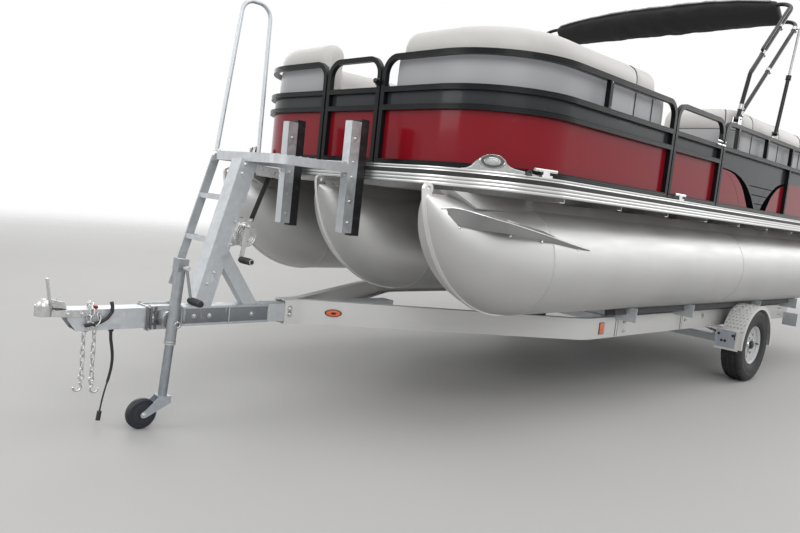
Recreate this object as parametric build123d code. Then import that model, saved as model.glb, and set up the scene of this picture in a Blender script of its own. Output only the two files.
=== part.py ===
"""Three-float pontoon boat standing on its single-axle trailer.

Millimetres. X runs forward, Y to port and Z up from the floor. Every X in this file is
measured from the trailer's axle; the finished pieces are moved so that the middle of
the overall length is the origin.
"""
from build123d import *
from math import atan2, cos, degrees, radians, sin, sqrt, tan
import os

# Overall places
COUPLER_NOSE_X = 5455
MOTOR_TAIL_X = -3640

# Heights that the rest stands on
TYRE_R = 318
FRAME_BOTTOM = 2 * TYRE_R - 178
FRAME_TOP = FRAME_BOTTOM + 142
TONGUE = 102
TONGUE_BOTTOM = FRAME_BOTTOM + 20
TONGUE_TOP = TONGUE_BOTTOM + TONGUE

# Floats
FLOAT_R = 317.5
DECK_HALF = 1270
FLOAT_SPACING = DECK_HALF - 308
FLOAT_BOTTOM = FRAME_TOP + 60
FLOAT_TAIL_X = -2450
NOSE_X = 4000
CENTRE_NOSE_X = 3936
NOSE_LENGTH = 730
KEEL_STRIP = 22
FLOAT_TOP = FLOAT_BOTTOM + 2 * FLOAT_R
RISER_TOP = FLOAT_TOP + 25
RISER_FOOT = FLOAT_TOP - 51
RISER_HALF_TOP = 90
RISER_HALF_FOOT = 155

# Deck and its rail
DECK_FRONT_X = 3825
DECK_TAIL_X = -2350
DECK_BOTTOM = RISER_TOP + 75
DECK_TOP = DECK_BOTTOM + 30
DECK_BOW_R = 530
DECK_STERN_R = 60
RAIL_OUT = 25
RAIL_BOTTOM = DECK_TOP - 81
RAIL_TOP = DECK_TOP + 14
RAIL_LIP = 22
INSERT_BOTTOM = RAIL_BOTTOM + 53
INSERT_TOP = INSERT_BOTTOM + 22
INSERT_DEPTH = 8
BEAM_PITCH = 610
BEAM_COUNT = 10
BEAM_FLANGE = 45
BEAM_WALL = 5

# Fence
TUBE = 30
FENCE_FRONT = DECK_FRONT_X - 90
FENCE_SIDE = DECK_HALF - 24
FENCE_TAIL = DECK_TAIL_X + 590
FENCE_BOW_R = 530
FENCE_STERN_R = 180
FENCE_BEND_R = 95
FOOT_RAIL = DECK_TOP + 35
BAND_RAIL = DECK_TOP + 343
MIDDLE_RAIL = DECK_TOP + 446
TOP_RAIL = DECK_TOP + 629
SKIN = 3
GATE_GAP = 14
BOW_GATE_HALF = 250
PORT_GATE_FRONT = 2020
PORT_GATE_TAIL = 1260
STERN_GATE_PORT = -350
STERN_GATE_STARBOARD = 341 - FENCE_SIDE
HINGE_R = GATE_GAP / 2 - 0.3
HINGE_LENGTH = 90

# Seats and helm
SEAT_BASE_TOP = DECK_TOP + 365
CUSHION_TOP = SEAT_BASE_TOP + 100
BACK_TOP = DECK_TOP + 770
BACK_THICK = 150
SEAT_CLEAR = 28

# Folding top
TOP_PIVOT_X = 1014
TOP_PIVOT_Z = TOP_RAIL + 57
TOP_PLANE = FENCE_SIDE - TUBE
BOW_TUBE_R = 16
MAIN_BOW_X = 40
MAIN_BOW_Z = TOP_PIVOT_Z + 964
SECOND_KNEE = (900, TOP_PIVOT_Z + 364)
SECOND_BOW_X = 196
SECOND_BOW_Z = TOP_PIVOT_Z + 1069
BOW_BEND_R = 130
BOW_EYE_R = 20
BOW_EYE_HALF = 18
PIVOT_PIN_R = 6
PIN_CLEAR = 0.05
KNEE_R = 60
BRACE_FOOT_X = 322
BRACE_FOOT_Z = TOP_RAIL + 46
BRACE_PLANE = FENCE_SIDE + 12
BRACE_HEAD_SHARE = 0.9
BRACE_COLLAR_SHARE = 0.55
BRACE_OVERLAP = 80
BRACE_CLEAR = 0.5
BRACE_TUBE_R = 15
BRACE_ROD_R = 10

# Trailer frame
TONGUE_FRONT_X = 5325
TONGUE_TAIL_X = 3250
FRAME_WALL = 6
FRAME_FLANGE = 45
FRAME_SIDE = 985
FRAME_KINK_X = 2370
FRAME_FRONT_X = 4118
FRAME_TAIL_X = -1550
BUNK_WIDTH = 80
BUNK_THICK = 40
BUNK_ANGLE = 22
OUTER_BUNK_ANGLE = 10
BUNK_GAP = 0.3
BUNK_FRONT_X = 2150
BUNK_TAIL_X = -1480
CROSS_X = (2000, 1100, -300, -1300)
CROSS_TUBE = 50

# Axle and wheels
TYRE_WIDTH = 176
WHEEL_PLANE = FRAME_SIDE + TYRE_WIDTH / 2 + 85
BEAD_R = 166
BEAD_HALF = 68
SPINDLE_R = 20
SPINDLE_CLEAR = 0.05
AXLE_TUBE = 60
FENDER_R = TYRE_R + 26
FENDER_WALL = 3
FENDER_INNER_Y = WHEEL_PLANE - TYRE_WIDTH / 2 + 3
FENDER_OUTER_Y = WHEEL_PLANE + TYRE_WIDTH / 2 + 10

# Tongue jack
JACK_Y = 160
JACK_TOP = (4838, 845)
JACK_FOOT = (4886, 157)
JACK_SLEEVE_END = 0.62
JACK_SLEEVE_R = 27
JACK_LEG_R = 22
JACK_WHEEL_R = 76
JACK_WHEEL_WIDTH = 42
JACK_WHEEL_X = 4990
CLAMP_HALF = 98
CLAMP_PLATE = 6
CLAMP_LIP = 9

# Winch stand
STAND_FOOT = (4645, TONGUE_TOP)
STAND_HEAD = (4432, TONGUE_TOP + 787)
STAND_TUBE = 100
PLATFORM_FRONT_X = 4427
PLATFORM_HALF = 315
PLATFORM_Z = STAND_HEAD[1] + 24
PLATFORM_TUBE = 48
GUIDE_Y = 304
GUIDE_BOTTOM = PLATFORM_Z - 361
GUIDE_TOP = PLATFORM_Z + 264

# Outboard motor
TRANSOM_X = -3020
TRANSOM_TOP = FLOAT_TOP - 145
TILT_X = -3075
TILT_Z = TRANSOM_TOP + 55
STEER_X = -3135
PROP_Z = FLOAT_BOTTOM - 100
PROP_X = -3320
PROP_R = 180

UP = Vector(0, 0, 1)


def block(x0, x1, y0, y1, z0, z1):
    """Box between two corners."""
    middle = ((x0 + x1) / 2, (y0 + y1) / 2, (z0 + z1) / 2)
    return Pos(*middle) * Box(abs(x1 - x0), abs(y1 - y0), abs(z1 - z0))


def rod(start, end, radius):
    """Round bar between two points."""
    start, end = Vector(*start), Vector(*end)
    plane = Plane(origin=start, z_dir=end - start)
    return extrude(plane * Circle(radius), (end - start).length)


def bar(start, end, across, deep):
    """Rectangular bar between two points of one upright fore-and-aft plane; across is its Y size."""
    start, end = Vector(*start), Vector(*end)
    plane = Plane(origin=start, x_dir=(0, 1, 0), z_dir=end - start)
    return extrude(plane * Rectangle(across, deep), (end - start).length)


def side_view(points, y0, y1):
    """Plate with a side outline of (x, z) points, from y0 to y1."""
    outline = make_face(Polyline(*[(x, y0, z) for x, z in points], close=True))
    return extrude(outline, amount=y1 - y0, dir=(0, 1, 0))


def plan_view(points, z0, z1):
    """Plate with a plan outline of (x, y) points, from z0 to z1."""
    outline = make_face(Polyline(*[(x, y, z0) for x, y in points], close=True))
    return extrude(outline, amount=z1 - z0, dir=(0, 0, 1))


def front_view(points, x0, x1):
    """Plate with a front outline of (y, z) points, from x0 to x1."""
    outline = make_face(Polyline(*[(x0, y, z) for y, z in points], close=True))
    return extrude(outline, amount=x1 - x0, dir=(1, 0, 0))


def along(path, outline):
    """Sweep an outline of (left, up) points along a level path."""
    heading = path % 0
    start = Plane(origin=path @ 0, x_dir=UP.cross(heading), z_dir=heading)
    return sweep(start * make_face(Polyline(*outline, close=True)), path=path)


def square_tube(path, size):
    """Square bar along a path whose first run is upright or level."""
    heading = path % 0
    side = Vector(0, 1, 0) if abs(heading.Y) < 0.5 else Vector(1, 0, 0)
    start = Plane(origin=path @ 0, x_dir=side, z_dir=heading)
    return sweep(start * Rectangle(size, size), path=path)


def round_tube(path, radius):
    """Round bar along a path."""
    start = Plane(origin=path @ 0, z_dir=path % 0)
    return sweep(start * Circle(radius), path=path)


def other_side(shape):
    """The same piece on the opposite side of the boat."""
    return mirror(shape, about=Plane.XZ)


def both_sides(shape):
    """A piece and its opposite number."""
    return [shape, other_side(shape)]


def fuse(first, *others):
    """One solid from pieces that touch."""
    for other in others:
        first = first + other
    return first


# Floats

FLOAT_AXIS_Z = FLOAT_BOTTOM + FLOAT_R
KEEL_R = (NOSE_LENGTH ** 2 + (2 * FLOAT_R) ** 2) / (4 * FLOAT_R)


def float_section(x, low, half_width):
    """Upright section of a float: two arcs that meet on the keel and on the top seam."""
    middle = (low + FLOAT_TOP) / 2
    port = ThreePointArc((x, 0, low), (x, half_width, middle), (x, 0, FLOAT_TOP))
    starboard = ThreePointArc((x, 0, FLOAT_TOP), (x, -half_width, middle), (x, 0, low))
    return make_face([port, starboard])


def float_nose(nose_x):
    """Pointed nose: the keel rises on one arc while the section narrows."""
    start_x = nose_x - NOSE_LENGTH
    # keel angle in degrees, half width as a share of the tube's radius
    stations = ((0, 1), (25, 0.83), (45, 0.59), (62, 0.32), (78, 0.04))
    sections = []
    for angle, share in stations:
        x = start_x + KEEL_R * sin(radians(angle))
        low = FLOAT_BOTTOM + KEEL_R * (1 - cos(radians(angle)))
        sections.append(float_section(x, low, share * FLOAT_R))
    return loft(sections)


def keel_strip(nose_x):
    """Bar along the nose's cutting edge, with the lifting lug on top."""
    start_x = nose_x - NOSE_LENGTH
    centre_z = FLOAT_BOTTOM + KEEL_R
    disc = Pos(start_x, 0, centre_z) * Rot(90, 0, 0) * Cylinder(KEEL_R + 6, KEEL_STRIP)
    core = Pos(start_x, 0, centre_z) * Rot(90, 0, 0) * Cylinder(KEEL_R - 45, KEEL_STRIP + 2)
    window = block(start_x, nose_x + 50, -50, 50, FLOAT_BOTTOM - 20, FLOAT_TOP + 12)
    strip = (disc - core) & window
    lug = Pos(nose_x - 22, 0, FLOAT_TOP + 22) * Rot(90, 0, 0) * Cylinder(30, KEEL_STRIP)
    eye = Pos(nose_x - 22, 0, FLOAT_TOP + 26) * Rot(90, 0, 0) * Cylinder(12, KEEL_STRIP + 2)
    return strip + lug - eye


def float_tube(nose_x):
    """Closed tube, nose, keel strip and the bracket that carries the deck beams."""
    start_x = nose_x - NOSE_LENGTH
    length = start_x - FLOAT_TAIL_X
    tube = Pos(FLOAT_TAIL_X + length / 2, 0, FLOAT_AXIS_Z) * Rot(0, 90, 0) * Cylinder(FLOAT_R, length)
    riser = front_view([(-RISER_HALF_FOOT, RISER_FOOT), (-RISER_HALF_TOP, RISER_TOP),
                        (RISER_HALF_TOP, RISER_TOP), (RISER_HALF_FOOT, RISER_FOOT)],
                       FLOAT_TAIL_X, nose_x)
    riser_side = side_view([(FLOAT_TAIL_X, RISER_FOOT - 5), (nose_x - 250, RISER_FOOT - 5),
                            (nose_x - 117, RISER_TOP + 1), (FLOAT_TAIL_X, RISER_TOP + 1)], -200, 200)
    return fuse(tube, float_nose(nose_x), keel_strip(nose_x), riser & riser_side)


def splash_fin():
    """Spray fin on the outer side of an outer float's nose, before the float is moved out."""
    side = side_view([(NOSE_X - 100, FLOAT_TOP - 59), (2830, FLOAT_TOP - 210), (2960, FLOAT_TOP - 227),
                      (3690, FLOAT_TOP - 155)], 60, FLOAT_R - 17.5)
    plan = plan_view([(NOSE_X - 90, 40), (NOSE_X - 330, FLOAT_R - 32.5), (2830, FLOAT_R - 55.5), (2830, 150),
                      (3600, 60)], FLOAT_TOP - 295, FLOAT_TOP + 5)
    return side & plan


def outer_float():
    return Pos(0, FLOAT_SPACING, 0) * fuse(float_tube(NOSE_X), splash_fin())


def centre_float():
    """Centre float with the pod that carries the motor."""
    pod = side_view([(FLOAT_TAIL_X, FLOAT_BOTTOM + 40), (TRANSOM_X + 60, FLOAT_BOTTOM + 140),
                     (TRANSOM_X, FLOAT_BOTTOM + 200), (TRANSOM_X, TRANSOM_TOP),
                     (TRANSOM_X + 60, TRANSOM_TOP), (FLOAT_TAIL_X, FLOAT_TOP - 45)],
                    -230, 230)
    return fuse(float_tube(CENTRE_NOSE_X), pod)


# Deck

def deck_outline(grow):
    """Plan of the deck, grown all round by a margin."""
    x0, x1 = DECK_TAIL_X - grow, DECK_FRONT_X + grow
    half = DECK_HALF + grow
    face = Pos((x0 + x1) / 2, 0, 0) * Rectangle(x1 - x0, 2 * half)
    corners = face.vertices().sort_by(Axis.X)
    face = fillet(corners[2:], DECK_BOW_R + grow)
    tail = face.vertices().group_by(Axis.X)[0]
    return fillet(tail, DECK_STERN_R + grow)


def slab(face, z0, z1):
    """Plate of a plan face between two heights."""
    return extrude(Pos(0, 0, z0) * face, z1 - z0)


def deck():
    return slab(deck_outline(0), DECK_BOTTOM, DECK_TOP)


RAIL_LINE = 4
RAIL_LINES = (RAIL_BOTTOM + 18, RAIL_BOTTOM + 36, (INSERT_TOP + RAIL_TOP) / 2)


def rub_rail():
    """Edge extrusion: two bright bands, a lip over the deck and a groove for the insert."""
    outer = slab(deck_outline(RAIL_OUT), RAIL_BOTTOM, RAIL_TOP)
    outer = outer - slab(deck_outline(0), RAIL_BOTTOM - 1, DECK_TOP)
    outer = outer - slab(deck_outline(-RAIL_LIP), DECK_TOP - 1, RAIL_TOP + 1)
    groove = slab(deck_outline(RAIL_OUT + 1), INSERT_BOTTOM, INSERT_TOP)
    groove = groove - slab(deck_outline(RAIL_OUT - INSERT_DEPTH), INSERT_BOTTOM - 1, INSERT_TOP + 1)
    rail = outer - groove
    for z in RAIL_LINES:
        line = slab(deck_outline(RAIL_OUT + 1), z - RAIL_LINE / 2, z + RAIL_LINE / 2)
        rail = rail - (line - slab(deck_outline(RAIL_OUT - RAIL_LINE), z - RAIL_LINE, z + RAIL_LINE))
    return rail


def rub_rail_insert():
    ring = slab(deck_outline(RAIL_OUT + 2), INSERT_BOTTOM, INSERT_TOP)
    return ring - slab(deck_outline(RAIL_OUT - INSERT_DEPTH), INSERT_BOTTOM - 1, INSERT_TOP + 1)


def deck_beams():
    """Channel beams across the floats."""
    channel = [(0, RISER_TOP), (BEAM_FLANGE, RISER_TOP), (BEAM_FLANGE, RISER_TOP + BEAM_WALL),
               (BEAM_WALL, RISER_TOP + BEAM_WALL), (BEAM_WALL, DECK_BOTTOM - BEAM_WALL),
               (BEAM_FLANGE, DECK_BOTTOM - BEAM_WALL), (BEAM_FLANGE, DECK_BOTTOM), (0, DECK_BOTTOM)]
    half = DECK_HALF - 6
    beams = []
    for number in range(BEAM_COUNT):
        x = DECK_TAIL_X + 90 + number * BEAM_PITCH
        beams.append(side_view([(x + a, z) for a, z in channel], -half, half))
    return beams


# Fence

HALF_TUBE = TUBE / 2
FENCE_FOOT = FOOT_RAIL - HALF_TUBE
RAILS = (FOOT_RAIL, BAND_RAIL, MIDDLE_RAIL)
BOW_SECTION_START = BOW_GATE_HALF + GATE_GAP + HALF_TUBE
BOW_SECTION_END = PORT_GATE_FRONT + GATE_GAP + HALF_TUBE
AFT_SECTION_START = PORT_GATE_TAIL - GATE_GAP - HALF_TUBE
STERN_SECTION_END = GATE_GAP + HALF_TUBE - STERN_GATE_STARBOARD
SECTION_CLEAR = 4


def bow_line(inset, z):
    """Fence line from the bow gate round the port corner, inset from the outer face."""
    front, side = FENCE_FRONT - inset, FENCE_SIDE - inset
    return FilletPolyline((front, BOW_SECTION_START, z), (front, side, z), (BOW_SECTION_END, side, z),
                          radius=FENCE_BOW_R - inset)


def aft_line(inset, z):
    """Fence line from the side gate round the stern corner."""
    tail, side = FENCE_TAIL + inset, FENCE_SIDE - inset
    return FilletPolyline((AFT_SECTION_START, side, z), (tail, side, z), (tail, STERN_SECTION_END, z),
                          radius=FENCE_STERN_R - inset)


def flat_bar(inner, thick, z0, z1):
    """Section for a level sweep, from inner to inner + thick on the left, between two heights."""
    return [(inner, z0), (inner + thick, z0), (inner + thick, z1), (inner, z1)]


def hoop(first, corner, last, corner_r):
    """Posts and top rail of a bent section: three plan points, the middle one rounded."""
    path = FilletPolyline((*first, DECK_TOP), (*first, TOP_RAIL), (*corner, TOP_RAIL),
                          (*last, TOP_RAIL), (*last, DECK_TOP),
                          radius=[FENCE_BEND_R, corner_r, FENCE_BEND_R])
    return square_tube(path, TUBE)


def post(x, y, z0=DECK_TOP, z1=TOP_RAIL):
    return block(x - HALF_TUBE, x + HALF_TUBE, y - HALF_TUBE, y + HALF_TUBE, z0, z1)


def bow_frame():
    front, side = FENCE_FRONT - HALF_TUBE, FENCE_SIDE - HALF_TUBE
    frame = hoop((front, BOW_SECTION_START), (front, side), (BOW_SECTION_END, side),
                 FENCE_BOW_R - HALF_TUBE)
    for z in RAILS:
        frame = frame + along(bow_line(HALF_TUBE, z), flat_bar(-HALF_TUBE, TUBE, -HALF_TUBE, HALF_TUBE))
    return frame + post(2870, side)


def aft_frame():
    tail, side = FENCE_TAIL + HALF_TUBE, FENCE_SIDE - HALF_TUBE
    frame = hoop((AFT_SECTION_START, side), (tail, side), (tail, STERN_SECTION_END),
                 FENCE_STERN_R - HALF_TUBE)
    for z in (FOOT_RAIL, MIDDLE_RAIL):
        frame = frame + along(aft_line(HALF_TUBE, z), flat_bar(-HALF_TUBE, TUBE, -HALF_TUBE, HALF_TUBE))
    for x in AFT_POSTS:
        frame = frame + post(x, side)
    return frame


def straight_frame(start, end):
    """Flat section between two plan points, with rounded top corners."""
    path = FilletPolyline((*start, DECK_TOP), (*start, TOP_RAIL), (*end, TOP_RAIL), (*end, DECK_TOP),
                          radius=FENCE_BEND_R)
    frame = square_tube(path, TUBE)
    for z in RAILS:
        frame = frame + along(Line((*start, z), (*end, z)),
                              flat_bar(-HALF_TUBE, TUBE, -HALF_TUBE, HALF_TUBE))
    return frame


AFT_POSTS = (1000, 390, -200, -790, -1380)
MID_START = (BOW_SECTION_END - TUBE - SECTION_CLEAR, -(FENCE_SIDE - HALF_TUBE))
MID_END = (AFT_SECTION_START + TUBE + SECTION_CLEAR, -(FENCE_SIDE - HALF_TUBE))
STERN_X = FENCE_TAIL + HALF_TUBE
STERN_START = (STERN_X, STERN_SECTION_END - TUBE - SECTION_CLEAR)
STERN_END = (STERN_X, STERN_GATE_PORT + GATE_GAP + HALF_TUBE)


def fence_frames():
    return [bow_frame(), other_side(bow_frame()),
            straight_frame(MID_START, MID_END),
            aft_frame(), other_side(aft_frame()),
            straight_frame(STERN_START, STERN_END)]


def skin(path, z0, z1):
    """Sheet behind the tubes along a level path drawn at the tubes' inner face."""
    return along(path, flat_bar(0, SKIN, z0 - path.position_at(0).Z, z1 - path.position_at(0).Z))


LOWER_SKIN = (FOOT_RAIL - 10, BAND_RAIL - 1)
UPPER_SKIN = (BAND_RAIL, MIDDLE_RAIL + 10)
ARCH_TOP = BAND_RAIL - 23
ARCH_FOOT = FOOT_RAIL - 10
ARCH_ONE_X = 560
ARCH_TWO_X = 330
ARCH_TWO_FLAT_X = -160


def arch_zones(y0, y1):
    """Two curved colour fields of the aft side: one ends at the first arch, one begins at the second."""
    rise = ARCH_TOP - ARCH_FOOT
    first_run = AFT_SECTION_START - ARCH_ONE_X
    second_run = ARCH_TWO_X - ARCH_TWO_FLAT_X
    first = make_face([
        Line((AFT_SECTION_START, y0, ARCH_FOOT), (AFT_SECTION_START, y0, ARCH_TOP)),
        ThreePointArc((AFT_SECTION_START, y0, ARCH_TOP),
                      (ARCH_ONE_X + 0.32 * first_run, y0, ARCH_FOOT + 0.66 * rise),
                      (ARCH_ONE_X, y0, ARCH_FOOT)),
        Line((ARCH_ONE_X, y0, ARCH_FOOT), (AFT_SECTION_START, y0, ARCH_FOOT))])
    aft_end = FENCE_TAIL + FENCE_STERN_R + 20
    second = make_face([
        Line((ARCH_TWO_X, y0, ARCH_FOOT), (aft_end, y0, ARCH_FOOT)),
        Line((aft_end, y0, ARCH_FOOT), (aft_end, y0, ARCH_TOP)),
        Line((aft_end, y0, ARCH_TOP), (ARCH_TWO_FLAT_X, y0, ARCH_TOP)),
        ThreePointArc((ARCH_TWO_FLAT_X, y0, ARCH_TOP),
                      (ARCH_TWO_X - 0.32 * second_run, y0, ARCH_FOOT + 0.66 * rise),
                      (ARCH_TWO_X, y0, ARCH_FOOT))])
    return [extrude(face, amount=y1 - y0, dir=(0, 1, 0)) for face in (first, second)]


def port_aft_skin():
    return skin(aft_line(TUBE, FOOT_RAIL), LOWER_SKIN[0], UPPER_SKIN[1])


def aft_red():
    zones = arch_zones(FENCE_SIDE - TUBE - SKIN - 5, FENCE_SIDE)
    return [port_aft_skin() & zone for zone in zones]


def aft_dark():
    rest = port_aft_skin()
    for zone in arch_zones(FENCE_SIDE - TUBE - SKIN - 5, FENCE_SIDE):
        rest = rest - zone
    return rest


def mid_skin(z0, z1):
    y = -(FENCE_SIDE - TUBE)
    return block(MID_END[0] - HALF_TUBE + 2, MID_START[0] + HALF_TUBE - 2, y, y + SKIN, z0, z1)


def stern_skin(z0, z1):
    x = FENCE_TAIL + TUBE
    return block(x, x + SKIN, STERN_END[1] - HALF_TUBE + 2, STERN_START[1] + HALF_TUBE - 2, z0, z1)


def lower_panels():
    bow = skin(bow_line(TUBE, FOOT_RAIL), *LOWER_SKIN)
    pieces = [bow, other_side(bow), mid_skin(*LOWER_SKIN)]
    for red in aft_red():
        pieces = pieces + both_sides(red)
    return pieces


def upper_panels():
    bow = skin(bow_line(TUBE, FOOT_RAIL), *UPPER_SKIN)
    dark = aft_dark()
    return [bow, other_side(bow), mid_skin(*UPPER_SKIN), dark, other_side(dark),
            stern_skin(LOWER_SKIN[0], UPPER_SKIN[1])]


# Gates. Each is drawn flat with its hinge line at the origin and swung into place.

def gate_frame(width):
    """Gate of a given width along +X from its hinge line; the outer face looks along +Y."""
    near, far = GATE_GAP / 2 + HALF_TUBE, GATE_GAP / 2 + width - HALF_TUBE
    y = HALF_TUBE
    path = FilletPolyline((near, y, FENCE_FOOT), (near, y, TOP_RAIL), (far, y, TOP_RAIL),
                          (far, y, FENCE_FOOT), radius=FENCE_BEND_R)
    frame = square_tube(path, TUBE)
    for z in RAILS:
        frame = frame + block(near, far, 0, TUBE, z - HALF_TUBE, z + HALF_TUBE)
    for z in (FOOT_RAIL + 110, MIDDLE_RAIL - 30):
        barrel = Pos(0, 0, z) * Cylinder(HINGE_R, HINGE_LENGTH)
        leaf = block(0, near, 0, 3, z - HINGE_LENGTH / 2, z + HINGE_LENGTH / 2)
        frame = frame + barrel + leaf
    latch = block(far - 10, far + 12, TUBE, TUBE + 14, MIDDLE_RAIL + 25, MIDDLE_RAIL + 55)
    return frame + latch


def gate_panel(width):
    near, far = GATE_GAP / 2 + 2, GATE_GAP / 2 + width - 2
    return [block(near + 12, far, -SKIN, 0, *LOWER_SKIN), block(near + 12, far, -SKIN, 0, *UPPER_SKIN)]


def placed(shape, x, y, turn):
    return Pos(x, y, 0) * Rot(0, 0, turn) * shape


BOW_HINGE = (FENCE_FRONT - TUBE, -(BOW_GATE_HALF + GATE_GAP / 2))
PORT_HINGE = (PORT_GATE_FRONT + GATE_GAP / 2, FENCE_SIDE - TUBE)
STERN_HINGE = (FENCE_TAIL + TUBE, STERN_GATE_STARBOARD - GATE_GAP / 2)
BOW_GATE_WIDTH = 2 * BOW_GATE_HALF
PORT_GATE_WIDTH = PORT_GATE_FRONT - PORT_GATE_TAIL
STERN_GATE_WIDTH = STERN_GATE_PORT - STERN_GATE_STARBOARD


def swung(shape, gate):
    """Put a flat gate shape on its hinge line."""
    if gate == "bow":
        return placed(mirror(shape, about=Plane.XZ), *BOW_HINGE, 90)
    if gate == "port":
        return placed(mirror(shape, about=Plane.YZ), *PORT_HINGE, 0)
    return placed(shape, *STERN_HINGE, 90)


# Seats and helm

def lounge_back(line):
    """Backrest that follows the fence."""
    thick = BACK_THICK
    return along(line, [(0, 0), (thick, 0), (thick, BACK_TOP - SEAT_BASE_TOP - 60),
                        (thick - 40, BACK_TOP - SEAT_BASE_TOP), (40, BACK_TOP - SEAT_BASE_TOP),
                        (0, BACK_TOP - SEAT_BASE_TOP - 60)])


BACK_LINE = TUBE + SKIN + SEAT_CLEAR
BACK_FRONT = FENCE_FRONT - BACK_LINE
BACK_SIDE = FENCE_SIDE - BACK_LINE
BACK_TAIL = FENCE_TAIL + BACK_LINE
BOW_SEAT_INNER = 560
BOW_SEAT_GATE = 335
BOW_SEAT_TAIL = 2230


def bow_back():
    path = FilletPolyline((BACK_FRONT, BOW_SEAT_GATE, SEAT_BASE_TOP), (BACK_FRONT, BACK_SIDE, SEAT_BASE_TOP),
                          (BOW_SEAT_TAIL, BACK_SIDE, SEAT_BASE_TOP), radius=FENCE_BOW_R - BACK_LINE)
    # heading port then aft, the inside of the boat is on the left
    return lounge_back(path)


def bow_plan(grow):
    """Plan of the bow seat inside its backrest."""
    r = FENCE_BOW_R - BACK_LINE
    face = make_face([
        Line((BOW_SEAT_TAIL, BACK_SIDE + grow, 0), (BACK_FRONT - r, BACK_SIDE + grow, 0)),
        RadiusArc((BACK_FRONT - r, BACK_SIDE + grow, 0), (BACK_FRONT + grow, BACK_SIDE - r, 0), r + grow),
        Line((BACK_FRONT + grow, BACK_SIDE - r, 0), (BACK_FRONT + grow, BOW_SEAT_GATE, 0)),
        Line((BACK_FRONT + grow, BOW_SEAT_GATE, 0), (BACK_FRONT - 480, BOW_SEAT_GATE, 0)),
        Line((BACK_FRONT - 480, BOW_SEAT_GATE, 0), (BACK_FRONT - 620, BOW_SEAT_INNER, 0)),
        Line((BACK_FRONT - 620, BOW_SEAT_INNER, 0), (BOW_SEAT_TAIL, BOW_SEAT_INNER, 0)),
        Line((BOW_SEAT_TAIL, BOW_SEAT_INNER, 0), (BOW_SEAT_TAIL, BACK_SIDE + grow, 0))])
    return face


def bow_cushions():
    seat = slab(bow_plan(-(BACK_THICK + 1)), SEAT_BASE_TOP, CUSHION_TOP)
    return [bow_back(), seat]


STERN_SEAT_DEPTH = 620
AFT_SEAT_FRONT = 975
AFT_SEAT_INNER = 600
SEAT_CORNER = 160


def aft_seat_plan(margin):
    """Plan of the L of seats along the port side and across the stern."""
    x0, x1 = BACK_TAIL + margin, AFT_SEAT_FRONT - margin
    y1 = BACK_SIDE - margin
    return [(x1, AFT_SEAT_INNER), (x0 + STERN_SEAT_DEPTH, AFT_SEAT_INNER),
            (x0 + STERN_SEAT_DEPTH, STERN_GATE_PORT + 130), (x0, STERN_GATE_PORT + 130),
            (x0, y1 - SEAT_CORNER), (x0 + SEAT_CORNER, y1), (x1 - SEAT_CORNER, y1), (x1, y1 - SEAT_CORNER)]


def aft_cushions():
    path = FilletPolyline((AFT_SEAT_FRONT, AFT_SEAT_INNER, SEAT_BASE_TOP),
                          (AFT_SEAT_FRONT, BACK_SIDE, SEAT_BASE_TOP),
                          (BACK_TAIL, BACK_SIDE, SEAT_BASE_TOP),
                          (BACK_TAIL, STERN_GATE_PORT + 130, SEAT_BASE_TOP), radius=[190, 190])
    seat = plan_view(aft_seat_plan(BACK_THICK + 1), SEAT_BASE_TOP, CUSHION_TOP)
    return [lounge_back(path), seat]


def lounge_bases():
    """Moulded seat boxes on the deck."""
    bow = slab(bow_plan(0), DECK_TOP, SEAT_BASE_TOP)
    aft = plan_view(aft_seat_plan(0), DECK_TOP, SEAT_BASE_TOP)
    return both_sides(bow) + [aft]


CHAIR_X = 250
CHAIR_Y = -640


def captain_chair():
    """Pedestal chair: foot, column, seat pan, back and two arms."""
    foot = Pos(CHAIR_X, CHAIR_Y, DECK_TOP + 15) * Cylinder(170, 30)
    column = Pos(CHAIR_X, CHAIR_Y, DECK_TOP + 165) * Cylinder(35, 280)
    pan = block(CHAIR_X - 240, CHAIR_X + 250, CHAIR_Y - 250, CHAIR_Y + 250, DECK_TOP + 300, DECK_TOP + 440)
    back = side_view([(CHAIR_X - 240, DECK_TOP + 430), (CHAIR_X - 120, DECK_TOP + 430),
                      (CHAIR_X - 190, DECK_TOP + 960), (CHAIR_X - 290, DECK_TOP + 940)],
                     CHAIR_Y - 240, CHAIR_Y + 240)
    arms = [block(CHAIR_X - 200, CHAIR_X + 180, CHAIR_Y + s * 275 - 30, CHAIR_Y + s * 275 + 30,
                  DECK_TOP + 380, DECK_TOP + 640) for s in (-1, 1)]
    return fuse(foot, column, pan, back, *arms)


CONSOLE_X = 1020
WHEEL_HUB = (CONSOLE_X - 60, CHAIR_Y, DECK_TOP + 635)
WHEEL_TILT = 28
WHEEL_RIM_R = 185


WHEEL_AXIS = Vector(-cos(radians(WHEEL_TILT)), 0, sin(radians(WHEEL_TILT)))
WHEEL_HUB_R = 45
WHEEL_HUB_HALF = 18
SEAT_GAP = 0.3


def shaft_point(distance):
    """Point on the steering shaft, a distance from the wheel's centre towards the dash."""
    return Vector(*WHEEL_HUB) - WHEEL_AXIS * distance


def helm_console():
    """Moulded helm stand with a sloping dash and the shaft's boss."""
    body = side_view([(CONSOLE_X, DECK_TOP), (CONSOLE_X + 560, DECK_TOP),
                      (CONSOLE_X + 520, DECK_TOP + 655), (CONSOLE_X + 330, DECK_TOP + 865),
                      (CONSOLE_X + 200, DECK_TOP + 865), (CONSOLE_X - 10, DECK_TOP + 535)],
                     105 - DECK_HALF, CHAIR_Y + 270)
    return body + rod(shaft_point(130), shaft_point(WHEEL_HUB_HALF + SEAT_GAP), WHEEL_HUB_R - 7)


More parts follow.
